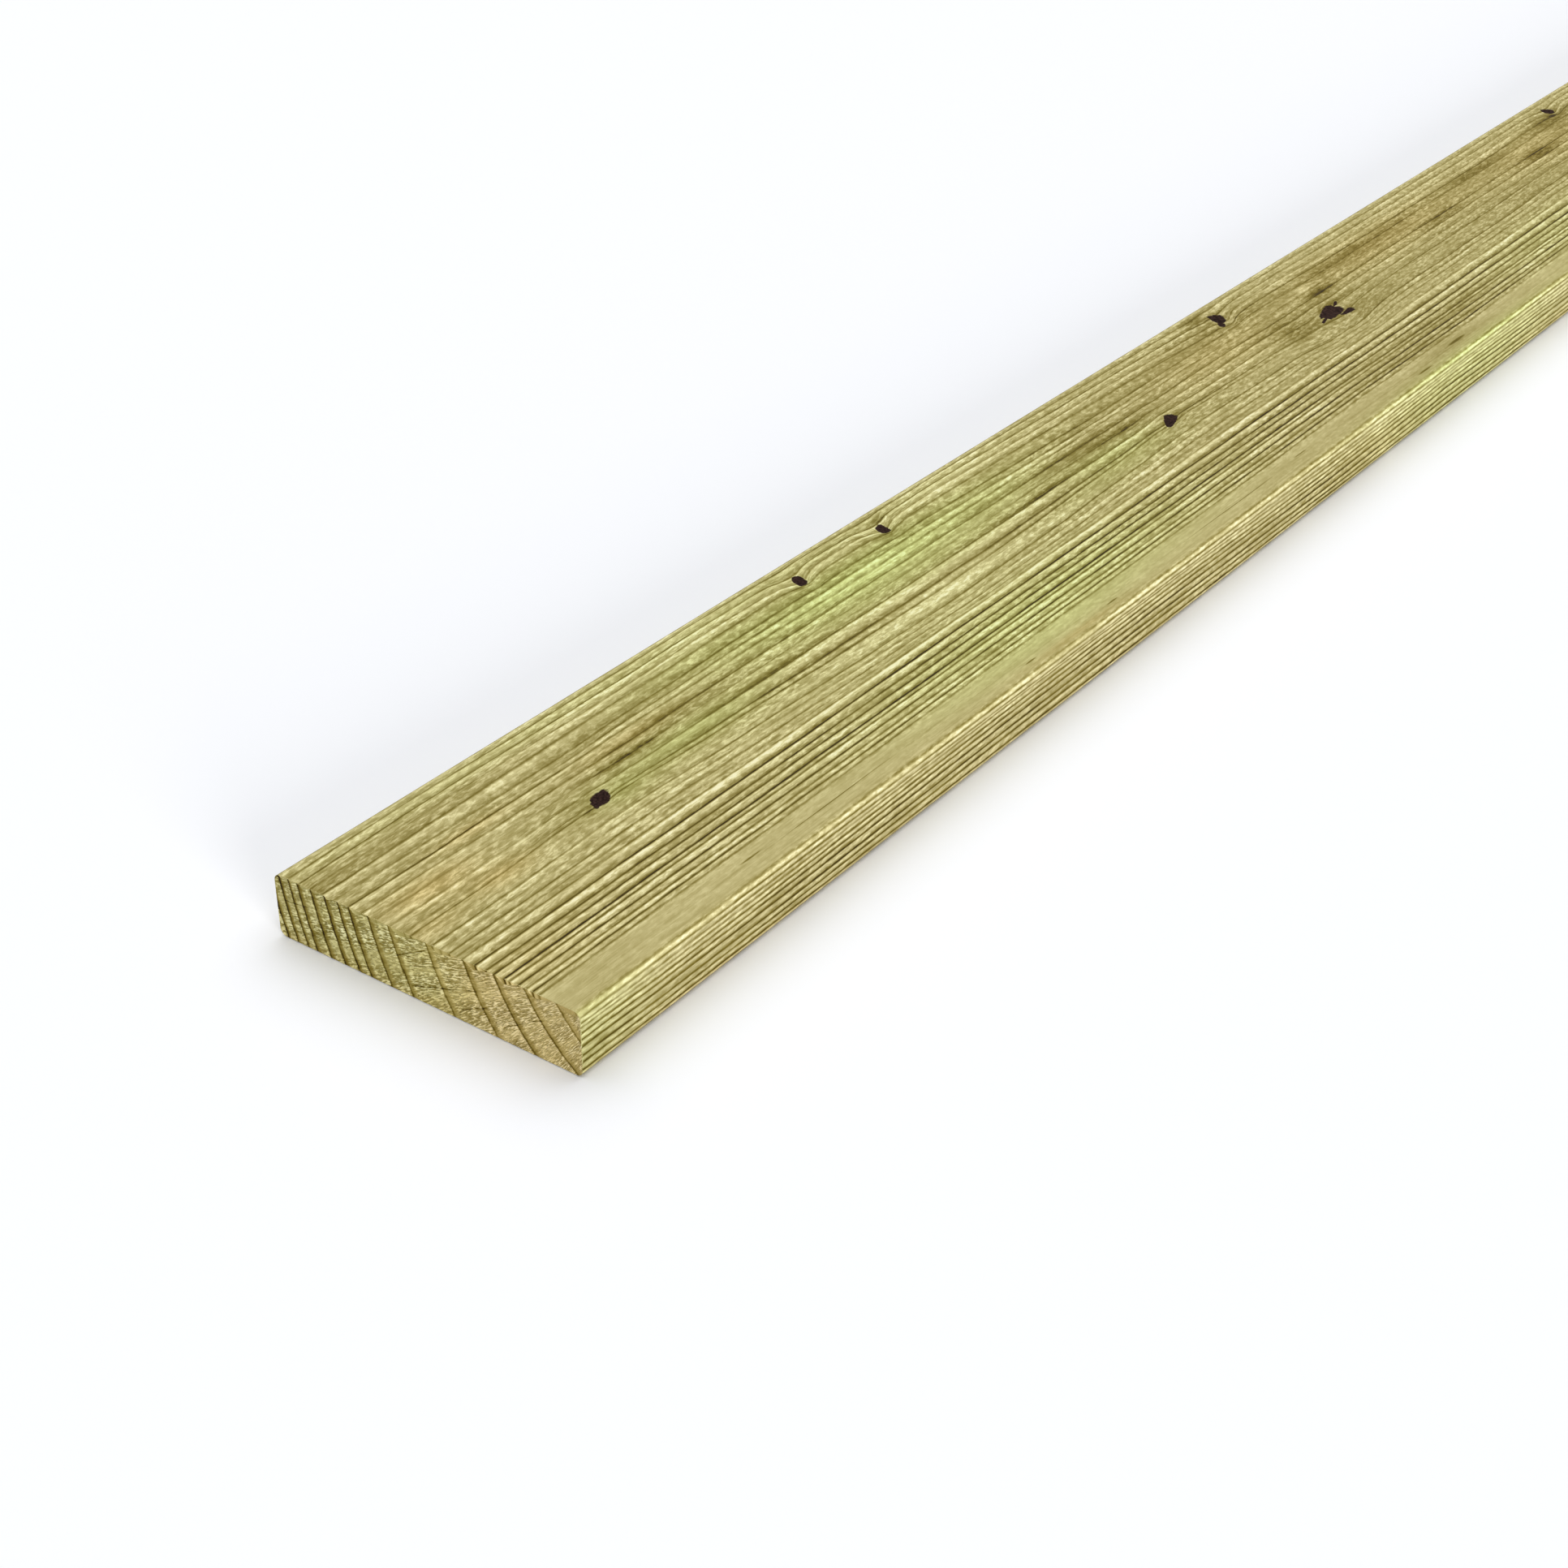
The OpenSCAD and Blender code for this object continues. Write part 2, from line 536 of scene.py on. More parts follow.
EDGE_DRIFT = [0, 0, 0.6, 0.6, -0.1, -0.8, -0.7, 0.2, 0.9, 0.4, -0.5, 0.4, 0.9, -0.2, 0.7, -0.6, 0.4]
WINDOW = 4.0


def swing(along, shares):
    """A share of the swing at places along the board, even on both sides of the figure's middle."""
    folded = FIGURE_MIDDLE - np.abs(along - FIGURE_MIDDLE)
    return np.interp(np.where(along < 2 * FIGURE_MIDDLE, folded, along), SWING_ALONG, shares)


def face_wander(along, across, seed):
    """How far, in mm, a ring line of a wide face has moved across since the near end."""
    outward = np.interp(across, [3, 4, 6.2, 12, 18, 24, 30, 37, 50],
                        [0, 1.6, 2.0, 3.0, 4.8, 5.5, 1.2, 0.6, 0])
    inward = np.interp(across, [24, 30, 35, 37, 55, 64, 67, 77, 85, 91, 97, 103, 110, 117],
                       [0, -2.5, -1.6, 0, 0, 1.9, 4.8, 4.4, 3.0, 0.9, 0.1, -0.2, 0.1, 0])
    tight = np.interp(across, [92, 100, 106], [0, 0.7, 1]) * np.interp(along, TIGHT_DRIFT_ALONG, TIGHT_DRIFT)
    beyond = np.clip((along - 1150) / 150, 0, 1) * np.interp(across, [4, 60, 126], [0.6, 1, 0.4])
    slow = soft_noise(along, across, 170, 40, seed) * 1.5 * beyond
    fine = soft_noise(along, across, 38, 9, seed + 1) * 0.40
    fine = fine + soft_noise(along, across, 15, 6, seed + 2) * 0.14
    fine = fine * np.interp(across, [60, 95, 128], [1, 0.55, 0.35])
    return inward * swing(along, MIDDLE_SWING) - outward * swing(along, FAR_SWING) + tight + slow + fine


def edge_wander(along, depth, seed):
    """The same for a narrow edge, where the lines are nearly straight."""
    drift = np.interp(along, EDGE_DRIFT_ALONG, EDGE_DRIFT)
    return drift + soft_noise(along, depth, 42, 7, seed) * 0.12


def held_at_rounds(walk, start, end):
    """1 inside a face, easing to 0 at both its rounds, so that the section keeps its shape."""
    inside = np.clip(np.minimum(walk - start, end - walk) / WINDOW, 0, 1)
    return inside * inside * (3 - 2 * inside)


def line_shift(along, walk):
    """How far the strip slides along its own walk, for each place on the skin."""
    across, depth, _ = on_section(walk)
    top = held_at_rounds(walk, TOP_START, TOP_END)
    near = held_at_rounds(walk, NEAR_START, NEAR_END)
    under = held_at_rounds(walk, UNDER_START, UNDER_END)
    far = held_at_rounds(walk, FAR_START, FAR_END)
    shift = top * face_wander(along, across, 11) - under * face_wander(LENGTH * 0.6 - along, across, 23)
    shift = shift + near * edge_wander(along, depth, 31) - far * edge_wander(along, depth, 47)
    for knot in KNOTS:
        da, dw = along - knot.along, walk - knot.walk
        span = abs(knot.half_long * math.cos(knot.tilt)) + abs(knot.half_wide * math.sin(knot.tilt))
        rise = abs(knot.half_wide * math.cos(knot.tilt)) + abs(knot.half_long * math.sin(knot.tilt))
        lean_in = knot.pull * np.exp(-(da / knot.reach[0]) ** 2 - (dw / knot.reach[1]) ** 2)
        close_by = np.exp(-np.abs(dw) / (1.7 * rise) - (da / (1.1 * span)) ** 2)
        aside = knot.wrap * rise * 0.8 * np.tanh(dw / 1.6) * close_by
        shift = shift + (lean_in + aside) * (top + under)
    return shift


trial = line_shift(np.linspace(0, LENGTH, 400)[:, None], walk_rows[None, :])
trial_gap = np.diff(walk_rows + trial, axis=1).min()
print(f"ring lines wander by {trial.min():.1f} to {trial.max():.1f} mm, "
      f"rows never closer than {trial_gap:.2f} mm")

# %% [markdown]
# ## Stations along the board
# Along the grain little changes, so long quads are enough. Near a knot and near the sawn ends
# the stations close up. A density is added up along the board and then divided evenly.

# %% Where the mesh is cut along its length
OPEN_STATION = 7.2
TIGHT_STATION = 2.4


def station_places():
    """Distances from the near end, closer together at knots and at the ends."""
    fine = np.linspace(0, LENGTH, 4001)
    extra = sum(np.exp(-((fine - k.along) / (k.half_long * 1.5)) ** 2) for k in KNOTS)
    extra = extra + np.exp(-fine / 8) + np.exp(-(LENGTH - fine) / 8)
    density = 1 / OPEN_STATION + (1 / TIGHT_STATION - 1 / OPEN_STATION) * np.clip(extra, 0, 1)
    total = np.concatenate([[0], np.cumsum((density[1:] + density[:-1]) / 2 * np.diff(fine))])
    count = math.ceil(total[-1])
    return np.interp(np.linspace(0, total[-1], count + 1), total, fine)


stations = station_places()
print(len(stations), "stations,", 2 * AROUND * (len(stations) - 1), "triangles in the skin")

# %% [markdown]
# ## Relief
# The section from the model is the outermost surface, and relief only goes inwards: the early
# wood has settled an eighth of a millimetre below the late wood, knots have shrunk a little more,
# and the planer leaves faint waves.

# %% Depth of the relief in mm
RING_RELIEF = 0.13
EDGE_RELIEF = 0.05
KNOT_RELIEF = 0.55
PLANER_WAVE = 0.05


def at_station(values, index, along):
    """A line's near, middle or far value, or one between them, at a place along the board."""
    middle = np.interp(along, RING_STATIONS, [0, 1, 1, 0])
    beyond = np.interp(along, RING_STATIONS, [0, 0, 0, 1])
    near, third, far = np.moveaxis(values[index], -1, 0)
    return near * (1 - middle - beyond) + third * middle + far * beyond


def until_next_line(walk):
    """Millimetres to the next ring line, and that line's number."""
    index = np.searchsorted(line_walks, walk, side="right")
    line = index % len(line_walks)
    upcoming = np.where(index < len(line_walks), line_walks[line], line_walks[0] + ROUND_TRIP)
    return upcoming - walk, line


def smooth(value):
    """Eases 0 to 1."""
    value = np.clip(value, 0, 1)
    return value * value * (3 - 2 * value)


def relief(along, walk, shifted):
    """How far each place of the skin lies below the model's own surface."""
    until, line = until_next_line(np.round(walk, 6) - 1e-4)
    crest = smooth(1 - until / RISE) * np.clip(at_station(line_dark, line, along), 0, 1)
    facing = on_section(walk)[2]
    inward = (RING_RELIEF * np.sin(facing) ** 2 + EDGE_RELIEF * np.cos(facing) ** 2) * (1 - crest)
    inward = inward + PLANER_WAVE * (1 + soft_noise(along, shifted, 21, 60, 5)) / 2
    for knot in KNOTS:
        long, wide = knot.local(along, shifted)
        inside = smooth(1.35 - np.hypot(long, wide))
        inward = inward + KNOT_RELIEF * inside * (0.75 + 0.25 * soft_noise(along, shifted, 1.6, 1.1, 8))
    return inward


# %% [markdown]
# ## Skin and ends as one closed mesh
# The skin is the walk repeated at every station. Each sawn end is a grid of columns and levels
# that shares the skin's outline, blended from its four sides, so that nothing is left open.

# %% Vertices of the skin
along_grid, walk_grid = np.meshgrid(stations, walk_rows, indexing="ij")
shift_grid = line_shift(along_grid, walk_grid)
across_grid, depth_grid, facing_grid = on_section(walk_grid)
shifted_grid = walk_grid + shift_grid
inward_grid = relief(along_grid, walk_grid, shifted_grid)
across_grid = across_grid + shift_grid * np.sin(facing_grid) - inward_grid * np.cos(facing_grid)
depth_grid = depth_grid + shift_grid * np.cos(facing_grid) + inward_grid * np.sin(facing_grid)


def in_metres(along, across, depth):
    """Turns along, across and depth in mm into the frame's own coordinates."""
    return np.stack([
        board_low.x + along / MM,
        board_high.y - across / MM,
        board_high.z - depth / MM,
    ], -1)


skin = in_metres(along_grid, across_grid, depth_grid)
print(f"relief from {inward_grid.min():.2f} to {inward_grid.max():.2f} mm deep")

# %% The rim shared by the skin and an end
def end_rim():
    """A grid of columns by levels: the walk row of each rim vertex, and -1 inside."""
    rim = np.full((COLUMNS, LEVELS), -1)
    rim[:, -1] = np.arange(COLUMNS)
    rim[-1, ::-1] = COLUMNS - 1 + np.arange(LEVELS)
    rim[::-1, 0] = COLUMNS + LEVELS - 2 + np.arange(COLUMNS)
    rim[0, :] = (2 * COLUMNS + LEVELS - 3 + np.arange(LEVELS)) % AROUND
    return rim


def filled(rim_values, column_share, level_share):
    """Values inside the rim, blended from its four sides."""
    a, b = column_share[:, None], level_share[None, :]
    left, right = rim_values[0][None, :], rim_values[-1][None, :]
    low, high = rim_values[:, 0][:, None], rim_values[:, -1][:, None]
    corners = ((1 - a) * (1 - b) * rim_values[0, 0] + a * (1 - b) * rim_values[-1, 0]
               + (1 - a) * b * rim_values[0, -1] + a * b * rim_values[-1, -1])
    return (1 - a) * left + a * right + (1 - b) * low + b * high - corners


rim = end_rim()
inside = rim < 0
column_share = on_section(walk_rows[:COLUMNS])[0] / WIDTH
level_share = ((THICKNESS - ROUND) - edge_rows[::-1]) / EDGE
print("each end is a grid of", rim.shape, "with", int(inside.sum()), "vertices of its own")

# %% [markdown]
# ## Rings on the sawn ends
# Across the grain the same years show as arcs round the pith, which here lay outside the board,
# beyond the near edge and above it. The saw leaves the end rough: soft spring wood is torn a
# little deeper than the hard late wood, so the ends get relief of their own, again only inwards.

# %% Growth rings round the pith
PITH_ACROSS = 184.0
PITH_DEPTH = -32.0
YEAR_ENDS = [47.0, 60.0, 72.4, 85.0, 98.1, 114.6, 132.0, 141.4, 150.7, 155.9, 162.4, 169.0, 175.7, 180.0,
             184.9, 189.6, 195.0]
YEAR_STRENGTH = [0.50, 0.60, 0.75, 0.95, 0.90, 0.55, 0.75, 0.85, 1.00, 0.90, 1.10, 0.95, 1.10, 0.80,
                 0.95, 0.95, 0.90]
END_RELIEF = 0.16
SAW_TEAR = 0.10


def years_at(across, depth):
    """Ring number, ring width and strength at a place on a sawn end, and its polar place in mm."""
    away = np.hypot(across - PITH_ACROSS, depth - PITH_DEPTH)
    turn = np.arctan2(depth - PITH_DEPTH, PITH_ACROSS - across)
    number = np.interp(away, YEAR_ENDS, np.arange(len(YEAR_ENDS)))
    index = np.clip(np.floor(number).astype(int), 0, len(YEAR_ENDS) - 2)
    width = np.diff(YEAR_ENDS)[index]
    strength = np.array(YEAR_STRENGTH)[index + 1]
    return number, width, strength, away, turn * 120


def end_vertices(station, outward):
    """Places of the vertices inside one sawn end."""
    across = filled(across_grid[station][rim], column_share, level_share)
    depth = filled(depth_grid[station][rim], column_share, level_share)
    number, width, strength, away, tangent = years_at(across, depth)
    until = (1 - number % 1) * width
    crest = smooth(1 - until / 2.5) * strength
    margin = np.minimum(np.minimum(across, WIDTH - across), np.minimum(depth, THICKNESS - depth))
    tear = SAW_TEAR * (1 + soft_noise(tangent, away, 1.8, 3.0, 61)) / 2
    inward = (END_RELIEF * (1 - crest) + tear) * smooth(margin / 1.6)
    along = np.where(outward < 0, inward, LENGTH - inward)
    return along[inside], across[inside], depth[inside]


near_end = end_vertices(0, -1)
far_end = end_vertices(-1, 1)
print(f"{len(near_end[0])} vertices inside each sawn end")

# %% Faces of the skin and of both ends
def skin_faces():
    """Quads between stations, wound so that they face outwards."""
    station, row = np.meshgrid(np.arange(len(stations) - 1), np.arange(AROUND), indexing="ij")
    onward = (row + 1) % AROUND
    here, there = station * AROUND, (station + 1) * AROUND
    return np.stack([here + row, here + onward, there + onward, there + row], -1).reshape(-1, 4)


def end_faces(station, first_inside, outward):
    """Quads of one sawn end, and the vertex number at each of its grid places."""
    numbers = np.where(inside, 0, station * AROUND + rim)
    numbers[inside] = first_inside + np.arange(inside.sum())
    corners = [numbers[:-1, :-1], numbers[1:, :-1], numbers[1:, 1:], numbers[:-1, 1:]]
    quads = np.stack(corners, -1).reshape(-1, 4)
    return quads if outward < 0 else quads[:, ::-1]


skin_count = len(stations) * AROUND
inside_count = int(inside.sum())
near_quads = end_faces(0, skin_count, -1)
far_quads = end_faces(len(stations) - 1, skin_count + inside_count, 1)
skin_quads = skin_faces()
quads = np.concatenate([skin_quads, near_quads, far_quads])
places = np.concatenate([
    skin.reshape(-1, 3), in_metres(*near_end), in_metres(*far_end)])
print(len(places), "vertices and", len(quads), "quads,", 2 * len(quads), "triangles")

# %% The board's mesh
def mesh_from(name, places, quads):
    """A mesh from arrays of places and quads."""
    mesh = bpy.data.meshes.new(name)
    mesh.vertices.add(len(places))
    mesh.vertices.foreach_set("co", places.astype(np.float32).ravel())
    mesh.loops.add(quads.size)
    mesh.loops.foreach_set("vertex_index", quads.astype(np.int32).ravel())
    mesh.polygons.add(len(quads))
    mesh.polygons.foreach_set("loop_start", np.arange(0, quads.size, 4, dtype=np.int32))
    mesh.update(calc_edges=True)
    mesh.validate()
    return mesh


board_mesh = mesh_from("board_wood", places, quads)
board = bpy.data.objects.new("board_wood", board_mesh)
bpy.context.scene.collection.objects.link(board)
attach(board, "root")
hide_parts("board")
print("the mesh has", len(board_mesh.polygons), "faces")

# %% Crisp arrises at the saw cuts
def sharpen_saw_cuts(mesh):
    """Smooth shading everywhere but round the two ends, where skin and sawn end meet."""
    mesh.polygons.foreach_set("use_smooth", np.ones(len(mesh.polygons), bool))
    ends = np.zeros(len(mesh.edges) * 2, np.int32)
    mesh.edges.foreach_get("vertices", ends)
    ends = ends.reshape(-1, 2)
    near = (ends < AROUND).all(1)
    last = (len(stations) - 1) * AROUND
    far = ((ends >= last) & (ends < last + AROUND)).all(1)
    sharp = mesh.attributes.new("sharp_edge", "BOOLEAN", "EDGE")
    sharp.data.foreach_set("value", near | far)


sharpen_saw_cuts(board_mesh)
print("arrises at both saw cuts are sharp")

# %% [markdown]
# ## What each corner knows about the wood
# The shader draws the fine detail, but it has to know where it is in the wood. Each face corner
# carries that as attributes: its place along and round the board following the grain, the
# distances to the ring lines on both sides and to the nearer sawn end, and its place in the
# axes of the nearest knot. Corners, not vertices, hold them, so a ring line is a clean break.

# %% Places of the corners of the skin's quads
def skin_corner_places():
    """Along, walk and shifted walk as quads by 4 corners, in the order in which skin_faces winds."""
    station, row = np.meshgrid(np.arange(len(stations) - 1), np.arange(AROUND), indexing="ij")
    station, row = station.ravel()[:, None], row.ravel()[:, None]
    corner_station = station + np.array([[0, 0, 1, 1]])
    corner_row = row + np.array([[0, 1, 1, 0]])
    walk = np.where(corner_row == AROUND, ROUND_TRIP, walk_rows[corner_row % AROUND])
    shifted = walk + shift_grid[corner_station, corner_row % AROUND]
    return stations[corner_station], walk, shifted


skin_along, skin_walk, skin_shifted = skin_corner_places()
skin_across, skin_depth, skin_facing = on_section(skin_walk)
on_top = np.clip(np.sin(skin_facing) * 1.4, 0, 1)
on_edge = np.clip(np.cos(skin_facing) * 1.4, 0, 1)
elsewhere = np.clip(1 - on_top - on_edge, 0, 1)
skin_from_end = np.minimum(skin_along, LENGTH - skin_along)
skin_across = skin_across + np.sin(skin_facing) * (skin_shifted - skin_walk)
print(skin_walk.size, "corners on the skin")

# %% Distance to the ring lines on both sides
ring_of_quad = np.searchsorted(line_walks, skin_walk.mean(1), side="right")
padded_walks = np.concatenate([[line_walks[-1] - ROUND_TRIP], line_walks, [line_walks[0] + ROUND_TRIP]])
since_line = skin_walk - padded_walks[ring_of_quad][:, None]
until_line = padded_walks[ring_of_quad + 1][:, None] - skin_walk
next_line = ring_of_quad[:, None] % len(line_walks)
last_line = (ring_of_quad[:, None] - 1) % len(line_walks)
next_dark = at_station(line_dark, next_line, skin_along)
last_dark = at_station(line_dark, last_line, skin_along)
last_pale = at_station(line_pale, last_line, skin_along)
print("widest ring on the skin", round(float((since_line + until_line).max()), 1), "mm")

# %% Nearest knot and nearest resin streak
STREAKS = [
    (110.0, 132.4, 8.0, 0.55), (160.0, 133.8, 44.0, 0.30), (297.0, 136.8, 5.5, 0.6),
    (363.5, 136.8, 5.5, 0.6), (482.0, 133.9, 50.0, 0.25), (551.0, 132.6, 8.0, 0.5),
    (683.0, 136.8, 10.0, 0.9), (731.5, 132.2, 13.0, 1.3), (930.0, 134.5, 14.0, 0.6),
    (1120.0, 131.0, 10.0, 0.6), (1385.0, 135.5, 12.0, 0.6), (1580.0, 132.5, 10.0, 0.6),
]


def nearest_knot(along, walk):
    """Each quad's corners in the axes of the knot nearest to its middle, and that knot's number."""
    middle_along, middle_walk = along.mean(1), walk.mean(1)
    reach = np.stack([np.hypot(*k.local(middle_along, middle_walk)) for k in KNOTS])
    chosen = reach.argmin(0)
    local = np.zeros((*along.shape, 3))
    for number, knot in enumerate(KNOTS):
        mine = chosen == number
        long, wide = knot.local(along[mine], walk[mine])
        local[mine] = np.stack([long, wide, np.full_like(long, number)], -1)
    return local


def nearest_streak(along, walk):
    """The same for the streaks of the plain band, and how plain the wood is there."""
    middle_along, middle_walk = along.mean(1), walk.mean(1)
    reach = np.stack([
        np.hypot((middle_along - a) / half, (middle_walk - top_walk(v)) / wide)
        for a, v, half, wide in STREAKS])
    centres = np.array(STREAKS)[reach.argmin(0)]
    long = (along - centres[:, 0:1]) / centres[:, 2:3]
    wide = (walk - top_walk(centres[:, 1:2])) / centres[:, 3:4]
    plain = np.interp(walk, top_walk([125.6, 128.5, 140.6, 142.0]), [0, 1, 1, 0])
    return np.stack([long, wide, plain], -1)


knot_places = nearest_knot(skin_along, skin_shifted)
streak_places = nearest_streak(skin_along, skin_walk)
print("corners within a knot:", int((np.hypot(knot_places[..., 0], knot_places[..., 1]) < 1).sum()))

# %% [markdown]
# ## Tints
# Pressure treatment leaves copper green in the wood, stronger where the wood drank more, and
# the boards dry to olive and brown in patches. These are broad and soft, so a few rounded
# patches, added up at the corners, are enough. Each patch has a middle, two half sizes in mm,
# and an amount. Shade amounts are in hundredths of full brightness. The near round also gets a
# painted highlight, a strip of paler tone placed by its angle.

# %% Green, warm and shaded patches
GREEN_PATCHES = [
    (318, 38, 105, 13, 1.0), (345, 24, 150, 10, 0.40), (345, 54, 120, 8, 0.40), (300, 75, 170, 14, 0.22),
    (320, 131, 90, 6, 0.28), (345, 113, 130, 20, 0.70), (165, 60, 50, 9, 0.65), (215, 22, 50, 8, 0.25),
    (250, 8, 240, 6, 0.35), (500, 60, 40, 9, 0.50), (485, 72, 60, 8, 0.30), (430, 40, 50, 10, 0.25),
    (740, 142, 110, 5, 0.45), (950, 112, 120, 22, 0.38), (118, 66, 16, 8, 0.35), (1330, 50, 110, 20, 0.7),
    (1560, 100, 120, 22, 0.5),
]
EDGE_GREEN = [(0, 10, 34, 30, 0.45), (730, 13, 120, 30, 0.62), (1420, 13, 130, 30, 0.6)]
WARM_PATCHES = [
    (26, 52, 22, 8, 0.9), (48, 67, 16, 6, 0.8), (62, 38, 18, 4, 0.6), (8, 70, 16, 6, 0.5),
    (150, 42, 30, 5, 0.5), (331, 139.6, 38, 2.0, 0.6), (12, 110, 30, 12, 0.3), (640, 40, 60, 20, 0.4),
    (850, 34, 110, 16, 0.6), (1080, 40, 90, 20, 0.5), (1500, 60, 120, 24, 0.5),
]
EDGE_WARM = [
    (60, 26, 110, 2.4, 0.6), (330, 26, 220, 2.4, 0.35), (620, 16, 60, 12, 0.3), (1000, 24, 200, 4, 0.5),
]
SHADE_PATCHES = [
    (20, 21, 45, 9, -4), (110, 20, 110, 6, 3), (55, 51, 40, 5, 5), (60, 72, 40, 6, 3),
    (140, 50.4, 22, 1.5, -34), (172, 44.8, 42, 3, -16), (200, 51, 60, 4, 3), (225, 56.5, 34, 1.5, -22),
    (500, 46, 44, 7, -9), (436, 56.7, 34, 1.5, -27), (524, 50, 24, 2, -24), (480, 44, 40, 3, -14),
    (810, 30, 95, 5, -16), (756, 43, 15, 4, -32), (748, 56, 22, 2.6, -18), (700, 50, 34, 5, -13),
    (665, 20, 40, 6, -14), (290.5, 21.6, 2.6, 1.3, -50), (371, 10, 5, 2.2, -20), (672, 9, 9, 3, -26),
    (730, 117, 60, 7, -8), (99.5, 65.4, 3.2, 0.8, -30), (103, 57.6, 9, 0.8, -20),
    (119, 61.4, 1.6, 0.7, -25), (358.6, 22.2, 3.2, 1.3, -38), (1138, 22, 4, 1.8, -40),
    (780, 113, 45, 4, -8), (998, 28, 40, 4.5, -20), (910, 46, 26, 4.5, -20), (1060, 46, 24, 4.5, -30),
    (1130, 24, 30, 9, -18), (1160, 44, 36, 6, -18), (1300, 48, 60, 6, -16), (1500, 54, 60, 6, -16),
    (1660, 48, 70, 7, -16), (90, 65.5, 16, 3.4, -5), (345, 42, 110, 15, 4), (335, 39.5, 60, 2.2, 10),
    (180, 8, 120, 8, 5), (415, 8, 60, 7, 6), (331, 75.6, 210, 1.8, 14), (330, 71, 45, 7, 10),
    (12, 55, 30, 2.4, 6), (320, 62, 150, 2.0, 9), (340, 51, 130, 5, 4), (430, 48, 40, 1.6, 5),
    (430, 25.5, 50, 2, 6), (430, 15, 50, 4, 6), (210, 20, 40, 5, 3), (320, 20, 25, 5, 3),
    (320, 34, 25, 6, 4), (80, 74, 100, 10, 3), (430, 133, 60, 5, 3), (751, 34, 7, 3, 18),
    (752, 31, 28, 5, 7), (60, 9, 60, 5, 5), (640, 60, 60, 8, 2), (250, 82, 180, 8, 2),
    (140, 31, 40, 5, -3), (505, 31, 30, 5, -5), (270, 41, 30, 5, -4), (405, 41, 25, 5, -6),
    (570, 50, 35, 16, -4), (694, 61, 20, 6, -18), (750, 72, 35, 6, -8), (1000, 66, 110, 14, -4),
    (325, 97, 35, 8, 3), (610, 103, 90, 14, -4), (650, 122, 150, 6, -4), (60, 110, 80, 7, -3),
    (150, 122, 120, 5, -2), (320, 131.5, 80, 5, 3), (722, 134, 50, 5, -8), (120, 61, 25, 6, -4),
    (240, 41, 25, 5, -3), (570, 51, 35, 5, 5), (570, 62, 35, 5, -3.5), (320, 110, 30, 6, 3),
    (360, 137.5, 22, 2.5, -5), (610, 137.5, 90, 3, -3.5), (520, 121, 60, 6, -3), (360, 8, 25, 6, -3.5),
    (240, 8, 25, 6, 3),
]
# On the near edge, the light patches just below the round make the upper band paler: painted light, the near
# round's highlight carried down the edge. The others are tone patches.
EDGE_SHADE = [
    (850, 13.5, 4000, 60, -3), (450, 14, 800, 6, -3), (450, 4.5, 800, 6, 7), (0, 4, 60, 9, 4),
    (120, 13, 20, 20, -3), (570, 12, 26, 30, -4), (620, 8, 14, 30, 3), (740, 6, 160, 14, 6),
    (900, 20, 160, 8, 4),
]

# A painted highlight on the near round: its angle from the walking face, its spread, and how much paler it
# makes the wood.
ARRIS_ANGLE = 31
ARRIS_SPREAD = 19
ARRIS_PAINTED_HIGHLIGHT = 0.11


def patches_at(along, place, patches):
    """Adds up soft rounded patches."""
    total = np.zeros_like(along)
    for a, p, half_a, half_p, amount in patches:
        total += amount * np.exp(-((along - a) / half_a) ** 2 - ((place - p) / half_p) ** 2)
    return total


def skin_tint(face_patches, edge_patches):
    """One tint at each corner; the hidden faces borrow the walking face's patches, turned round."""
    turned = LENGTH * 0.62 - skin_along
    return (on_top * patches_at(skin_along, skin_across, face_patches)
            + on_edge * patches_at(skin_along, skin_depth, edge_patches)
            + elsewhere * patches_at(turned, WIDTH - skin_across, face_patches))


skin_green = skin_tint(GREEN_PATCHES, EDGE_GREEN)
skin_warm = skin_tint(WARM_PATCHES, EDGE_WARM)
# Painted highlight: the near round gets a strip of paler tone, placed by its angle.
near_arris_highlight = np.exp(-((np.degrees(skin_facing) - ARRIS_ANGLE) / ARRIS_SPREAD) ** 2)
skin_shade_and_highlight = skin_tint(SHADE_PATCHES, EDGE_SHADE) / 100 + ARRIS_PAINTED_HIGHLIGHT * near_arris_highlight
print(f"green up to {skin_green.max():.2f}, warm up to {skin_warm.max():.2f}, "
      f"shade {skin_shade_and_highlight.min():.2f} to {skin_shade_and_highlight.max():.2f}")

# %% Values at the corners of the sawn ends
end_across = filled(across_grid[0][rim], column_share, level_share)
end_depth = filled(depth_grid[0][rim], column_share, level_share)
year_number, year_width, year_strength, from_pith, round_pith = years_at(end_across, end_depth)
end_warm = np.interp(end_across, [0, 30, 60, 95, WIDTH], [0.0, 0.15, 0.45, 1.0, 1.0])
end_warm = end_warm + 0.5 * np.interp(end_depth, [THICKNESS - 5, THICKNESS], [0, 1])
end_green = np.interp(end_across, [0, 40, 75, 105], [0.15, 0.30, 0.35, 0.0])
end_shade = np.interp(end_across, [0, 10, 40, 56, 90, 104, WIDTH],
                      [-0.08, -0.05, -0.04, 0.01, 0.02, 0.05, 0.045])
end_shade = end_shade - 0.35 * np.exp(-(end_across / 3.4) ** 2 - (end_depth / 2.6) ** 2)
late_width = np.minimum(3.2, 0.42 * year_width)
print("years cut by the end:", int(year_number.max()) - int(year_number.min()) + 1)

# %% [markdown]
# The saw breaks the last fibres out of the walking face, so along the top arris the face grain
# turns down over the end in small steps. Each step drops beside a ring's dark edge and runs out
# at the next ring. The lines of the walking face simply carry on down these steps, so every
# corner of the end also holds its distances to the ring lines of the column that it lies under.

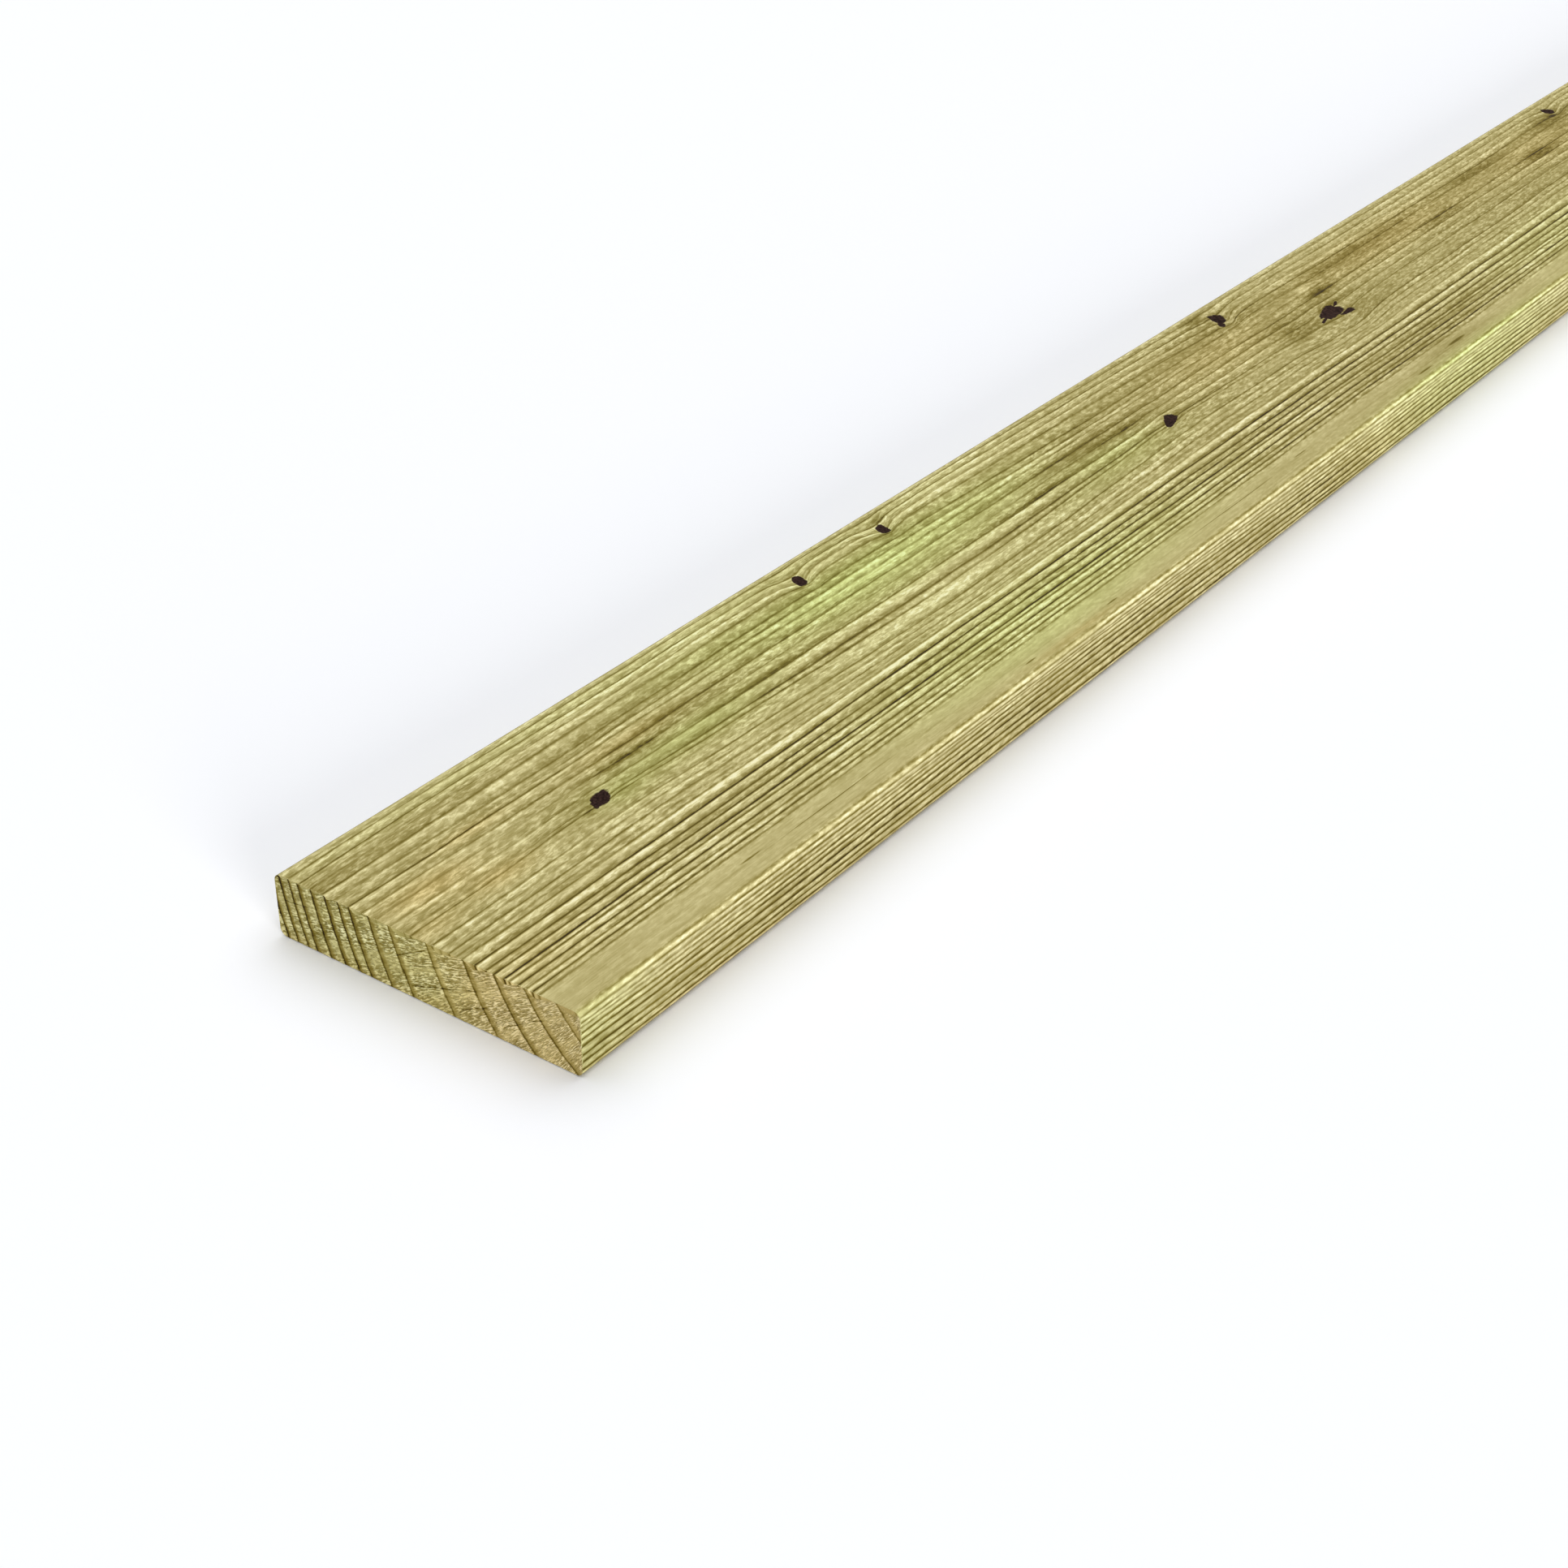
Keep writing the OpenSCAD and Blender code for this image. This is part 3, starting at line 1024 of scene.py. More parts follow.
# %% Ring lines of the face carried down over the ends
def face_lines_on_end():
    """Since, until, dark, last dark and last pale, as quads by 4 corners, as if walking the face."""
    start = walk_rows[:COLUMNS - 1]
    finish = walk_rows[1:COLUMNS]
    ring = np.searchsorted(line_walks, (start + finish) / 2, side="right")
    last, upcoming = padded_walks[ring], padded_walks[ring + 1]
    since = np.stack([start - last, finish - last, finish - last, start - last], -1)
    until = np.stack([upcoming - start, upcoming - finish, upcoming - finish, upcoming - start], -1)
    following, before = ring % len(line_walks), (ring - 1) % len(line_walks)
    marks = [line_dark[following, 0], line_dark[before, 0], line_pale[before, 0]]
    columns = [since, until] + [np.repeat(mark[:, None], 4, 1) for mark in marks]
    spread = [np.repeat(column[:, None, :], LEVELS - 1, 1).reshape(-1, 4) for column in columns]
    return [np.stack(spread[:3], -1), np.stack([spread[3], spread[4], spread[4] * 0], -1)]


print("face lines carried over each end on", (COLUMNS - 1) * (LEVELS - 1), "quads")

# %% All of it stored on the mesh
def corners_of(values, outward):
    """Grid values in the order in which end_faces winds its quads."""
    corners = [values[:-1, :-1], values[1:, :-1], values[1:, 1:], values[:-1, 1:]]
    stacked = np.stack(corners, 2).reshape(-1, 4, values.shape[-1])
    return stacked if outward < 0 else stacked[:, ::-1]


def store(name, on_skin, on_ends):
    """Writes one corner attribute of three numbers, first for the skin and then for both ends."""
    on_skin, on_ends = np.stack(on_skin, -1), np.stack(on_ends, -1)
    ends = [corners_of(on_ends, -1).reshape(-1, 3), corners_of(on_ends, 1).reshape(-1, 3)]
    values = np.concatenate([on_skin.reshape(-1, 3), *ends])
    attribute = board_mesh.attributes.new(name, "FLOAT_VECTOR", "CORNER")
    attribute.data.foreach_set("vector", values.astype(np.float32).ravel())


def store_on_ends(name, quad_values):
    """Writes an attribute that only the ends need, given as quads by 4 corners by 3 numbers."""
    blank = np.zeros((skin_walk.size, 3))
    values = np.concatenate([blank, quad_values.reshape(-1, 3), quad_values[:, ::-1].reshape(-1, 3)])
    attribute = board_mesh.attributes.new(name, "FLOAT_VECTOR", "CORNER")
    attribute.data.foreach_set("vector", values.astype(np.float32).ravel())


far_off = np.full_like(end_across, 9.0)
store("rings", [since_line, until_line, next_dark], [year_number, year_width, year_strength])
store("grain", [skin_along, skin_walk, last_dark], [from_pith, round_pith, year_strength])
store("detail", [last_pale, skin_from_end, on_top], [end_across, end_depth, late_width])
for name, values in zip(("face_rings", "face_marks"), face_lines_on_end()):
    store_on_ends(name, values)
store("knot", list(np.moveaxis(knot_places, -1, 0)), [far_off] * 3)
store("streak", list(np.moveaxis(streak_places, -1, 0)), [far_off] * 3)
store("tint", [skin_green, skin_warm, skin_shade_and_highlight], [end_green, end_warm, end_shade])
print("stored", [a.name for a in board_mesh.attributes if a.domain == "CORNER"])

# %% [markdown]
# ## Laying the skin out flat
# A part is often given a picture map later. The strip unrolls without any stretch, so the map is
# made here from the walk itself: the length runs across the square, and each face gets its own
# band, the walking face the tallest. The sawn ends sit side by side in a band of their own.

# %% Map bands, as shares of the square
BAND_GAP = 0.008
BANDS = {"top": 0.44, "near": 0.08, "under": 0.25, "far": 0.06, "ends": 0.11}
BAND_WALKS = {
    "top": (0.0, TOP_END + ARC),
    "near": (NEAR_START, NEAR_END),
    "under": (NEAR_END, UNDER_END + ARC),
    "far": (FAR_START, FAR_END),
}


def lay_out_map(mesh):
    """Fills the picture map band by band, and hands back how high the bands reach."""
    foot = BAND_GAP
    skin_map = np.zeros((*skin_walk.shape, 2))
    skin_map[..., 0] = BAND_GAP + (1 - 2 * BAND_GAP) * skin_along / LENGTH
    middle = skin_walk.mean(1)
    for name, (start, end) in BAND_WALKS.items():
        mine = (middle > start) & (middle < end)
        share = (skin_walk[mine] - start) / (end - start)
        skin_map[mine, :, 1] = foot + BANDS[name] * share
        foot += BANDS[name] + BAND_GAP
    across = filled(on_section(walk_rows)[0][rim], column_share, level_share)
    depth = filled(on_section(walk_rows)[1][rim], column_share, level_share)
    wide = 0.5 - 1.5 * BAND_GAP
    halves = []
    for outward, left in ((-1, BAND_GAP), (1, 0.5 + BAND_GAP / 2)):
        flat = np.stack([left + wide * across / WIDTH, foot + BANDS["ends"] * (1 - depth / THICKNESS)], -1)
        halves.append(corners_of(flat, outward).reshape(-1, 2))
    flat_map = np.concatenate([skin_map.reshape(-1, 2), *halves])
    layer = mesh.uv_layers.new(name="OFBake")
    layer.data.foreach_set("uv", flat_map.astype(np.float32).ravel())
    return foot + BANDS["ends"]


print("the map's bands reach", round(lay_out_map(board_mesh), 3), "of the square")

# %% [markdown]
# ## Node groups shared by both finishes
# The planed skin and the sawn ends are the same wood, so what they share is built once: how a
# year's growth darkens, how fibres and flecks break it up, and how tone turns into wood colour.
# Tone is a plain number here, the brightness of the wood from 0 to 1, and only the last group
# turns it into colour. That keeps each effect a small sum that can be tuned by itself.

# %% A helper for groups
def new_group(name, inputs, outputs):
    """An empty shader node group with named number, vector or colour sockets."""
    tree = bpy.data.node_groups.new(name, "ShaderNodeTree")
    kinds = {float: "NodeSocketFloat", tuple: "NodeSocketVector", list: "NodeSocketColor"}
    for label, start in inputs.items():
        socket = tree.interface.new_socket(label, in_out="INPUT", socket_type=kinds[type(start)])
        socket.default_value = start
    for label, kind in outputs.items():
        tree.interface.new_socket(label, in_out="OUTPUT", socket_type=kinds[kind])
    return tree, tree.nodes.new("NodeGroupInput").outputs, tree.nodes.new("NodeGroupOutput").inputs


def use_group(tree, group, inputs):
    """Places a group in a tree, fills its inputs by name and hands back its outputs."""
    node = tree.nodes.new("ShaderNodeGroup")
    node.node_tree = group
    for key, value in inputs.items():
        if isinstance(value, bpy.types.NodeSocket):
            tree.links.new(value, node.inputs[key])
        else:
            node.inputs[key].default_value = value
    return node.outputs


# %% Growth: how one year's wood darkens
def build_growth_group():
    """Tone change and late wood from the distances to the ring lines on both sides."""
    tree, given, out = new_group(
        "year_growth",
        {"Since Line": 0.0, "Until Line": 5.0, "Dark": 1.0, "Last Dark": 1.0, "Last Pale": 1.0, "Waver": 0.0,
         "Core Width": 1.0, "Core Depth": 0.25, "Band Width": 3.8, "Band Share": 0.6, "Band Depth": 0.11,
         "Spring Start": 1.0, "Spring Width": 4.6, "Spring Light": 0.20},
        {"Tone": float, "Late Wood": float})
    since = sum_of(tree, "ABSOLUTE", sum_of(tree, "SUBTRACT", given["Since Line"], given["Waver"]))
    until = sum_of(tree, "ABSOLUTE", sum_of(tree, "ADD", given["Until Line"], given["Waver"]))

    def fading(distance, width, amount):
        share = fade(tree, sum_of(tree, "DIVIDE", distance, width), 0.0, 1.0, 1.0, 0.0)
        return sum_of(tree, "MULTIPLY", share, amount)

    ring = sum_of(tree, "ADD", given["Since Line"], given["Until Line"])
    share_of_ring = sum_of(tree, "MULTIPLY", ring, given["Band Share"])
    band_width = sum_of(tree, "MINIMUM", given["Band Width"], share_of_ring)
    after_width = sum_of(tree, "MULTIPLY", given["Core Width"], 0.65)
    core_before = fading(until, given["Core Width"], given["Dark"])
    core_after = fading(since, after_width, given["Last Dark"])
    core = sum_of(tree, "MAXIMUM", core_before, core_after)
    band = fading(until, band_width, given["Dark"])
    dark = sum_of(tree, "MULTIPLY", core, given["Core Depth"])
    dark = sum_of(tree, "MULTIPLY_ADD", band, given["Band Depth"], dark)
    started = fade(tree, sum_of(tree, "DIVIDE", since, given["Spring Start"]), 0.0, 1.0)
    ending = fade(tree, until, 0.2, 1.4)
    light = sum_of(tree, "MULTIPLY", fading(since, given["Spring Width"], given["Last Pale"]), started)
    light = sum_of(tree, "MULTIPLY", sum_of(tree, "MULTIPLY", light, ending), given["Spring Light"])
    tree.links.new(sum_of(tree, "SUBTRACT", light, dark), out["Tone"])
    tree.links.new(sum_of(tree, "MINIMUM", core, 1.0), out["Late Wood"])
    return tree


growth_group = build_growth_group()
print("built", growth_group.name)


# %% Fibres: streaks, flecks, threads and clouds along the grain
def build_fibre_group():
    """Four noises stretched along the grain, each from -1 to 1."""
    tree, given, out = new_group(
        "wood_fibres",
        {"Along": 0.0, "Across": 0.0, "Seed": 0.0, "Streak Length": 26.0, "Streak Width": 1.7,
         "Fleck Length": 4.6, "Fleck Width": 1.6, "Thread Length": 30.0, "Thread Width": 0.55, "Slant": 0.0},
        {"Streak": float, "Fleck": float, "Thread": float, "Cloud": float})

    def stretched(length, width, offset, detail, low, high, ragged=0.0):
        leaning = sum_of(tree, "MULTIPLY_ADD", given["Across"], given["Slant"], given["Along"])
        place = add_node(tree, "CombineXYZ", (
            sum_of(tree, "DIVIDE", leaning, length),
            sum_of(tree, "DIVIDE", given["Across"], width),
            sum_of(tree, "ADD", given["Seed"], offset)))
        settings = {"Vector": place, "Scale": 1.0, "Detail": detail, "Roughness": 0.62, "Distortion": ragged}
        return fade(tree, add_node(tree, "TexNoise", settings), low, high, -1.0, 1.0)

    streak = stretched(given["Streak Length"], given["Streak Width"], 3.1, 2.0, 0.28, 0.72)
    fleck = stretched(given["Fleck Length"], given["Fleck Width"], 17.7, 4.0, 0.32, 0.70, 0.35)
    thread = stretched(given["Thread Length"], given["Thread Width"], 41.3, 1.0, 0.25, 0.75)
    cloud = stretched(60.0, 11.0, 77.9, 2.0, 0.28, 0.72)
    for name, value in zip(("Streak", "Fleck", "Thread", "Cloud"), (streak, fleck, thread, cloud)):
        tree.links.new(value, out[name])
    return tree


fibre_group = build_fibre_group()
print("built", fibre_group.name)


# %% Wood colour: tone, treatment green and warm brown to a colour
TONE_STOPS = [
    (0.12, (36, 25, 12)), (0.26, (82, 68, 20)), (0.39, (115, 101, 38)), (0.463, (132, 118, 57)),
    (0.56, (155, 142, 83)), (0.639, (176, 163, 105)), (0.784, (213, 201, 144)), (0.847, (230, 219, 160)),
    (0.95, (248, 240, 194)),
]
GREEN_SHIFT = (0.89, 1.06, 0.775, 1.0)
WARM_SHIFT = (1.05, 0.94, 0.81, 1.0)
# Painted side light: the edges and underside are whitened towards this cool grey.
PAINTED_SIDE_LIGHT_COLOUR = (0.90, 0.90, 0.95, 1.0)


def build_colour_group():
    """Turns tone into treated-pine colour, leaning to green or to warm brown, and whitened by painted side
    light.
    """
    tree, given, out = new_group(
        "treated_wood_colour", {"Tone": 0.64, "Green": 0.0, "Warm": 0.0, "Painted Side Light": 0.0}, {"Color": list})
    ramp = tree.nodes.new("ShaderNodeValToRGB")
    tree.links.new(given["Tone"], ramp.inputs["Fac"])
    stops = ramp.color_ramp.elements
    while len(stops) < len(TONE_STOPS):
        stops.new(0.5)
    for stop, (place, shade) in zip(stops, TONE_STOPS):
        stop.position = place
        stop.color = colour(*shade)
    wood = ramp.outputs["Color"]
    green = blend(tree, 1.0, wood, GREEN_SHIFT, "MULTIPLY")
    wood = blend(tree, given["Green"], wood, green)
    warm = blend(tree, 1.0, wood, WARM_SHIFT, "MULTIPLY")
    wood = blend(tree, given["Warm"], wood, warm)
    wood = blend(tree, given["Painted Side Light"], wood, PAINTED_SIDE_LIGHT_COLOUR)
    tree.links.new(wood, out["Color"])
    return tree


colour_group = build_colour_group()
print("built", colour_group.name)

# %% Torn end grain: dashes and pits
def build_torn_group():
    """Short dashes that point at the pith, from -1 to 1, and dark pits from 0 to 1."""
    tree, given, out = new_group(
        "torn_end_grain", {"Out": 0.0, "Round": 0.0, "Dash Length": 2.6, "Dash Width": 0.52},
        {"Dash": float, "Pit": float})

    def torn(length, width, offset, low, high, first):
        place = add_node(tree, "CombineXYZ", (
            sum_of(tree, "DIVIDE", given["Out"], length),
            sum_of(tree, "DIVIDE", given["Round"], width),
            offset))
        settings = {"Vector": place, "Scale": 1.0, "Detail": 2.0, "Roughness": 0.6, "Distortion": 0.35}
        return fade(tree, add_node(tree, "TexNoise", settings), low, high, first, 1.0)

    tree.links.new(torn(given["Dash Length"], given["Dash Width"], 5.3, 0.39, 0.62, -1.0), out["Dash"])
    pit_width = sum_of(tree, "MULTIPLY", given["Dash Width"], 1.5)
    pit_length = sum_of(tree, "MULTIPLY", given["Dash Length"], 0.8)
    tree.links.new(torn(pit_length, pit_width, 23.9, 0.60, 0.70, 0.0), out["Pit"])
    return tree


torn_group = build_torn_group()
print("built", torn_group.name)

# %% Knots: heart, highlighted rim and halo
KNOT_SQUARENESS = 3.0


def build_knot_group():
    """Masks of a knot's dark heart, a thin rim round it that gets a painted highlight, and the stained wood
    beyond.
    """
    tree, given, out = new_group(
        "small_dead_knot",
        {"Knot": (9.0, 9.0, 0.0), "Along": 0.0, "Across": 0.0, "Raggedness": 0.5},
        {"Heart": float, "Rim Highlight": float, "Halo": float, "Color": list})
    parts = tree.nodes.new("ShaderNodeSeparateXYZ")
    tree.links.new(given["Knot"], parts.inputs[0])
    place = add_node(tree, "CombineXYZ", (given["Along"], given["Across"], parts.outputs["Z"]))
    ragged = add_node(tree, "TexNoise", {"Vector": place, "Scale": 0.5, "Detail": 2.0, "Roughness": 0.55}, 1)
    nudge = add_node(tree, "VectorMath", (ragged, (0.5, 0.5, 0.5)), operation="SUBTRACT")
    nudge = add_node(tree, "VectorMath", {0: nudge, "Scale": given["Raggedness"]}, operation="SCALE")
    moved = add_node(tree, "VectorMath", (given["Knot"], nudge), operation="ADD")
    sides = tree.nodes.new("ShaderNodeSeparateXYZ")
    tree.links.new(moved, sides.inputs[0])
    powers = [sum_of(tree, "POWER", sum_of(tree, "ABSOLUTE", sides.outputs[axis]), KNOT_SQUARENESS)
              for axis in (0, 1)]
    away = sum_of(tree, "POWER", sum_of(tree, "ADD", *powers), 1 / KNOT_SQUARENESS)
    heart = fade(tree, away, 0.90, 1.08, 1.0, 0.0)
    # The rim, a thin ring just outside the heart, is a painted highlight of paler tone.
    rim = sum_of(tree, "SUBTRACT", fade(tree, away, 1.08, 1.30, 1.0, 0.0), heart)
    mottle = add_node(tree, "TexNoise", {"Vector": place, "Scale": 0.9, "Detail": 3.0})
    inner = fade(tree, mottle, 0.35, 0.7, 0.0, 1.0)
    tree.links.new(heart, out["Heart"])
    tree.links.new(rim, out["Rim Highlight"])
    tree.links.new(fade(tree, away, 1.0, 2.2, 1.0, 0.0), out["Halo"])
    tree.links.new(blend(tree, inner, colour(30, 19, 15), colour(62, 44, 38)), out["Color"])
    return tree


knot_group = build_knot_group()
print("built", knot_group.name)

# %% [markdown]
# ## Planed and treated: the skin
# The planed faces read every attribute. The base tone is darkened by the ring lines, mottled by
# the fibres, shifted by the patches, and cut through by knots and resin streaks. The planer
# tears soft spring wood a little, which shows as pale flecks; the late wood stays smooth and dark.

# %% The planed skin's material
BASE_TONE = 0.640
STREAK_TONE = 0.050
FLECK_TONE = 0.090
THREAD_TONE = 0.022
CLOUD_TONE = 0.020
PLAIN_TONE = 0.044
HALO_TONE = -0.045
# how much paler the painted highlight on a knot's rim makes the wood
RIM_HIGHLIGHT_TONE = 0.05
RESIN_TONE = -0.26
LINE_WAVER = 0.08
# how strongly the painted side light whitens the paler wood of the edges and underside
SIDE_PAINTED_LIGHT = 0.046
TEAR = 0.35
TEAR_TONE = 0.60


def read_attribute(tree, name):
    """An Attribute node's vector, and its three numbers."""
    node = tree.nodes.new("ShaderNodeAttribute")
    node.attribute_name = name
    parts = tree.nodes.new("ShaderNodeSeparateXYZ")
    tree.links.new(node.outputs["Vector"], parts.inputs[0])
    return node.outputs["Vector"], parts.outputs[0], parts.outputs[1], parts.outputs[2]


def planed_wood():
    """Material of the planed faces and rounds."""
    material, tree, shader = new_material("planed_treated_pine")
    _, since, until, dark = read_attribute(tree, "rings")
    _, along, across, last_dark = read_attribute(tree, "grain")
    knot_place, _, _, _ = read_attribute(tree, "knot")
    streak_place, streak_long, streak_wide, plain = read_attribute(tree, "streak")
    # The tint's last number holds the shade patches and the near round's painted highlight.
    _, green, warm, shade = read_attribute(tree, "tint")
    _, pale, from_end, upward = read_attribute(tree, "detail")
    fibres = use_group(tree, fibre_group, {"Along": along, "Across": across, "Slant": 0.5})
    growth = use_group(tree, growth_group, {
        "Since Line": since, "Until Line": until, "Dark": dark, "Last Dark": last_dark, "Last Pale": pale,
        "Waver": sum_of(tree, "MULTIPLY", fibres["Streak"], LINE_WAVER)})
    knot = use_group(tree, knot_group, {"Knot": knot_place, "Along": along, "Across": across})

    rough_part = sum_of(tree, "MULTIPLY_ADD", growth["Late Wood"], -0.55, 1.0)
    rough_part = sum_of(tree, "MULTIPLY", rough_part, fade(tree, plain, 0.0, 1.0, 1.0, 0.30))
    streak = sum_of(tree, "MULTIPLY", fibres["Streak"], fade(tree, plain, 0.0, 1.0, 1.0, 0.45))
    fleck = sum_of(tree, "MULTIPLY", fibres["Fleck"], rough_part)
    fleck = sum_of(tree, "MULTIPLY", fleck, sum_of(tree, "MULTIPLY_ADD", fibres["Cloud"], 0.30, 1.0))
    worn = sum_of(tree, "MULTIPLY_ADD", fibres["Cloud"], 0.22, 1.0)
    tone = sum_of(tree, "MULTIPLY_ADD", growth["Tone"], worn, BASE_TONE)
    bright_fleck = sum_of(tree, "MAXIMUM", fleck, 0.0)
    bright_fleck = sum_of(tree, "MULTIPLY", bright_fleck, sum_of(tree, "MAXIMUM", upward, 0.35))
    fleck = sum_of(tree, "MULTIPLY_ADD", bright_fleck, 0.5, fleck)
    flat_streak = add_node(tree, "CombineXYZ", (streak_long, streak_wide, 0.0))
    resin = add_node(tree, "VectorMath", (flat_streak,), 1, operation="LENGTH")
    resin = fade(tree, resin, 0.4, 1.0, 1.0, 0.0)
    tone = layered(tree, tone, [
        (plain, PLAIN_TONE), (fleck, FLECK_TONE), (streak, STREAK_TONE), (fibres["Thread"], THREAD_TONE),
        (fibres["Cloud"], CLOUD_TONE), (shade, 1.0), (knot["Halo"], HALO_TONE), (knot["Rim Highlight"], RIM_HIGHLIGHT_TONE),
        (resin, RESIN_TONE)])

    torn = use_group(tree, torn_group, {"Out": along, "Round": across})
    tear_edge = sum_of(tree, "MULTIPLY_ADD", torn["Dash"], 0.25, sum_of(tree, "SUBTRACT", TEAR, from_end))
    tear_tone = sum_of(tree, "MULTIPLY_ADD", torn["Dash"], 0.12, TEAR_TONE)
    tone = between(tree, fade(tree, tear_edge, 0.0, 0.25), tone, tear_tone)

    # Painted side light: faces that do not look up are whitened a little, most where the wood is pale.
    side_light_paint = fade(tree, upward, 0.0, 1.0, SIDE_PAINTED_LIGHT, 0.0)
    side_light_paint = sum_of(tree, "MULTIPLY", side_light_paint, fade(tree, tone, 0.40, 0.70))
    wood = use_group(tree, colour_group, {
        "Tone": tone, "Green": green, "Warm": warm, "Painted Side Light": side_light_paint})["Color"]
    wood = blend(tree, knot["Heart"], wood, knot["Color"])
    tree.links.new(wood, shader.inputs["Base Color"])
    shader.inputs["Roughness"].default_value = 0.78
    tree.links.new(fade(tree, knot["Heart"], 0.0, 1.0, 0.08, 0.02), shader.inputs["Specular IOR Level"])
    height = sum_of(tree, "MULTIPLY", fleck, 0.5)
    height = sum_of(tree, "MULTIPLY_ADD", fibres["Thread"], 0.2, height)
    height = sum_of(tree, "ADD", height, growth["Late Wood"])
    bump = add_node(tree, "Bump", {"Strength": 0.6, "Distance": 0.00012, "Height": height})
    tree.links.new(bump, shader.inputs["Normal"])
    return material


board_mesh.materials.append(planed_wood())
print("planed skin ready")

# %% [markdown]
# ## Sawn: the two ends
# End grain is the cut ends of the fibres. It is duller and rougher than the planed face, warm tan
# where the wood is young and olive where the treatment soaked in, with short torn flecks from
# the saw and a few fine checks that point at the pith.

# %% The sawn ends' material
CHECKS = [
    (56.0, 13.5, 75.0, 3.0), (65.0, 14.0, 81.0, 8.5), (64.0, 22.3, 98.0, 11.0), (107.0, 22.0, 128.0, 10.0),
    (3.0, 10.5, 17.0, 9.0), (88.0, 23.0, 103.0, 15.5),
]
END_TONE = 0.725
LATE_TONE = -0.23
DASH_TONE = 0.16
PIT_TONE = -0.15
CHECK_TONE = -0.24
STEP_REACH = 2.6
STEP_SHARE = 0.22
STEP_PEAK = 0.28
STEP_TONE = 0.64


def drying_checks(tree, across, depth, wobble):
    """1 on a few fine cracks, each a straight line between two places on the end, and 0 elsewhere."""
    place = add_node(tree, "CombineXYZ", (across, depth, 0.0))
    found = 0.0
    for first_across, first_depth, last_across, last_depth in CHECKS:
        start = Vector((first_across, first_depth, 0))
        run = Vector((last_across, last_depth, 0)) - start
        onward = run.normalized()
        aside = Vector((-onward.y, onward.x, 0))
        off = add_node(tree, "VectorMath", (place, aside), 1, operation="DOT_PRODUCT")
        off = sum_of(tree, "SUBTRACT", off, start.dot(aside))
        off = sum_of(tree, "ABSOLUTE", sum_of(tree, "ADD", off, wobble))
        passed = add_node(tree, "VectorMath", (place, onward), 1, operation="DOT_PRODUCT")
        passed = sum_of(tree, "SUBTRACT", passed, start.dot(onward))
        line = sum_of(tree, "MULTIPLY", fade(tree, off, 0.05, 0.34, 1.0, 0.0), fade(tree, passed, 0.0, 3.0))
        line = sum_of(tree, "MULTIPLY", line, fade(tree, passed, run.length - 3.0, run.length, 1.0, 0.0))
        found = sum_of(tree, "MAXIMUM", line, found)
    return found


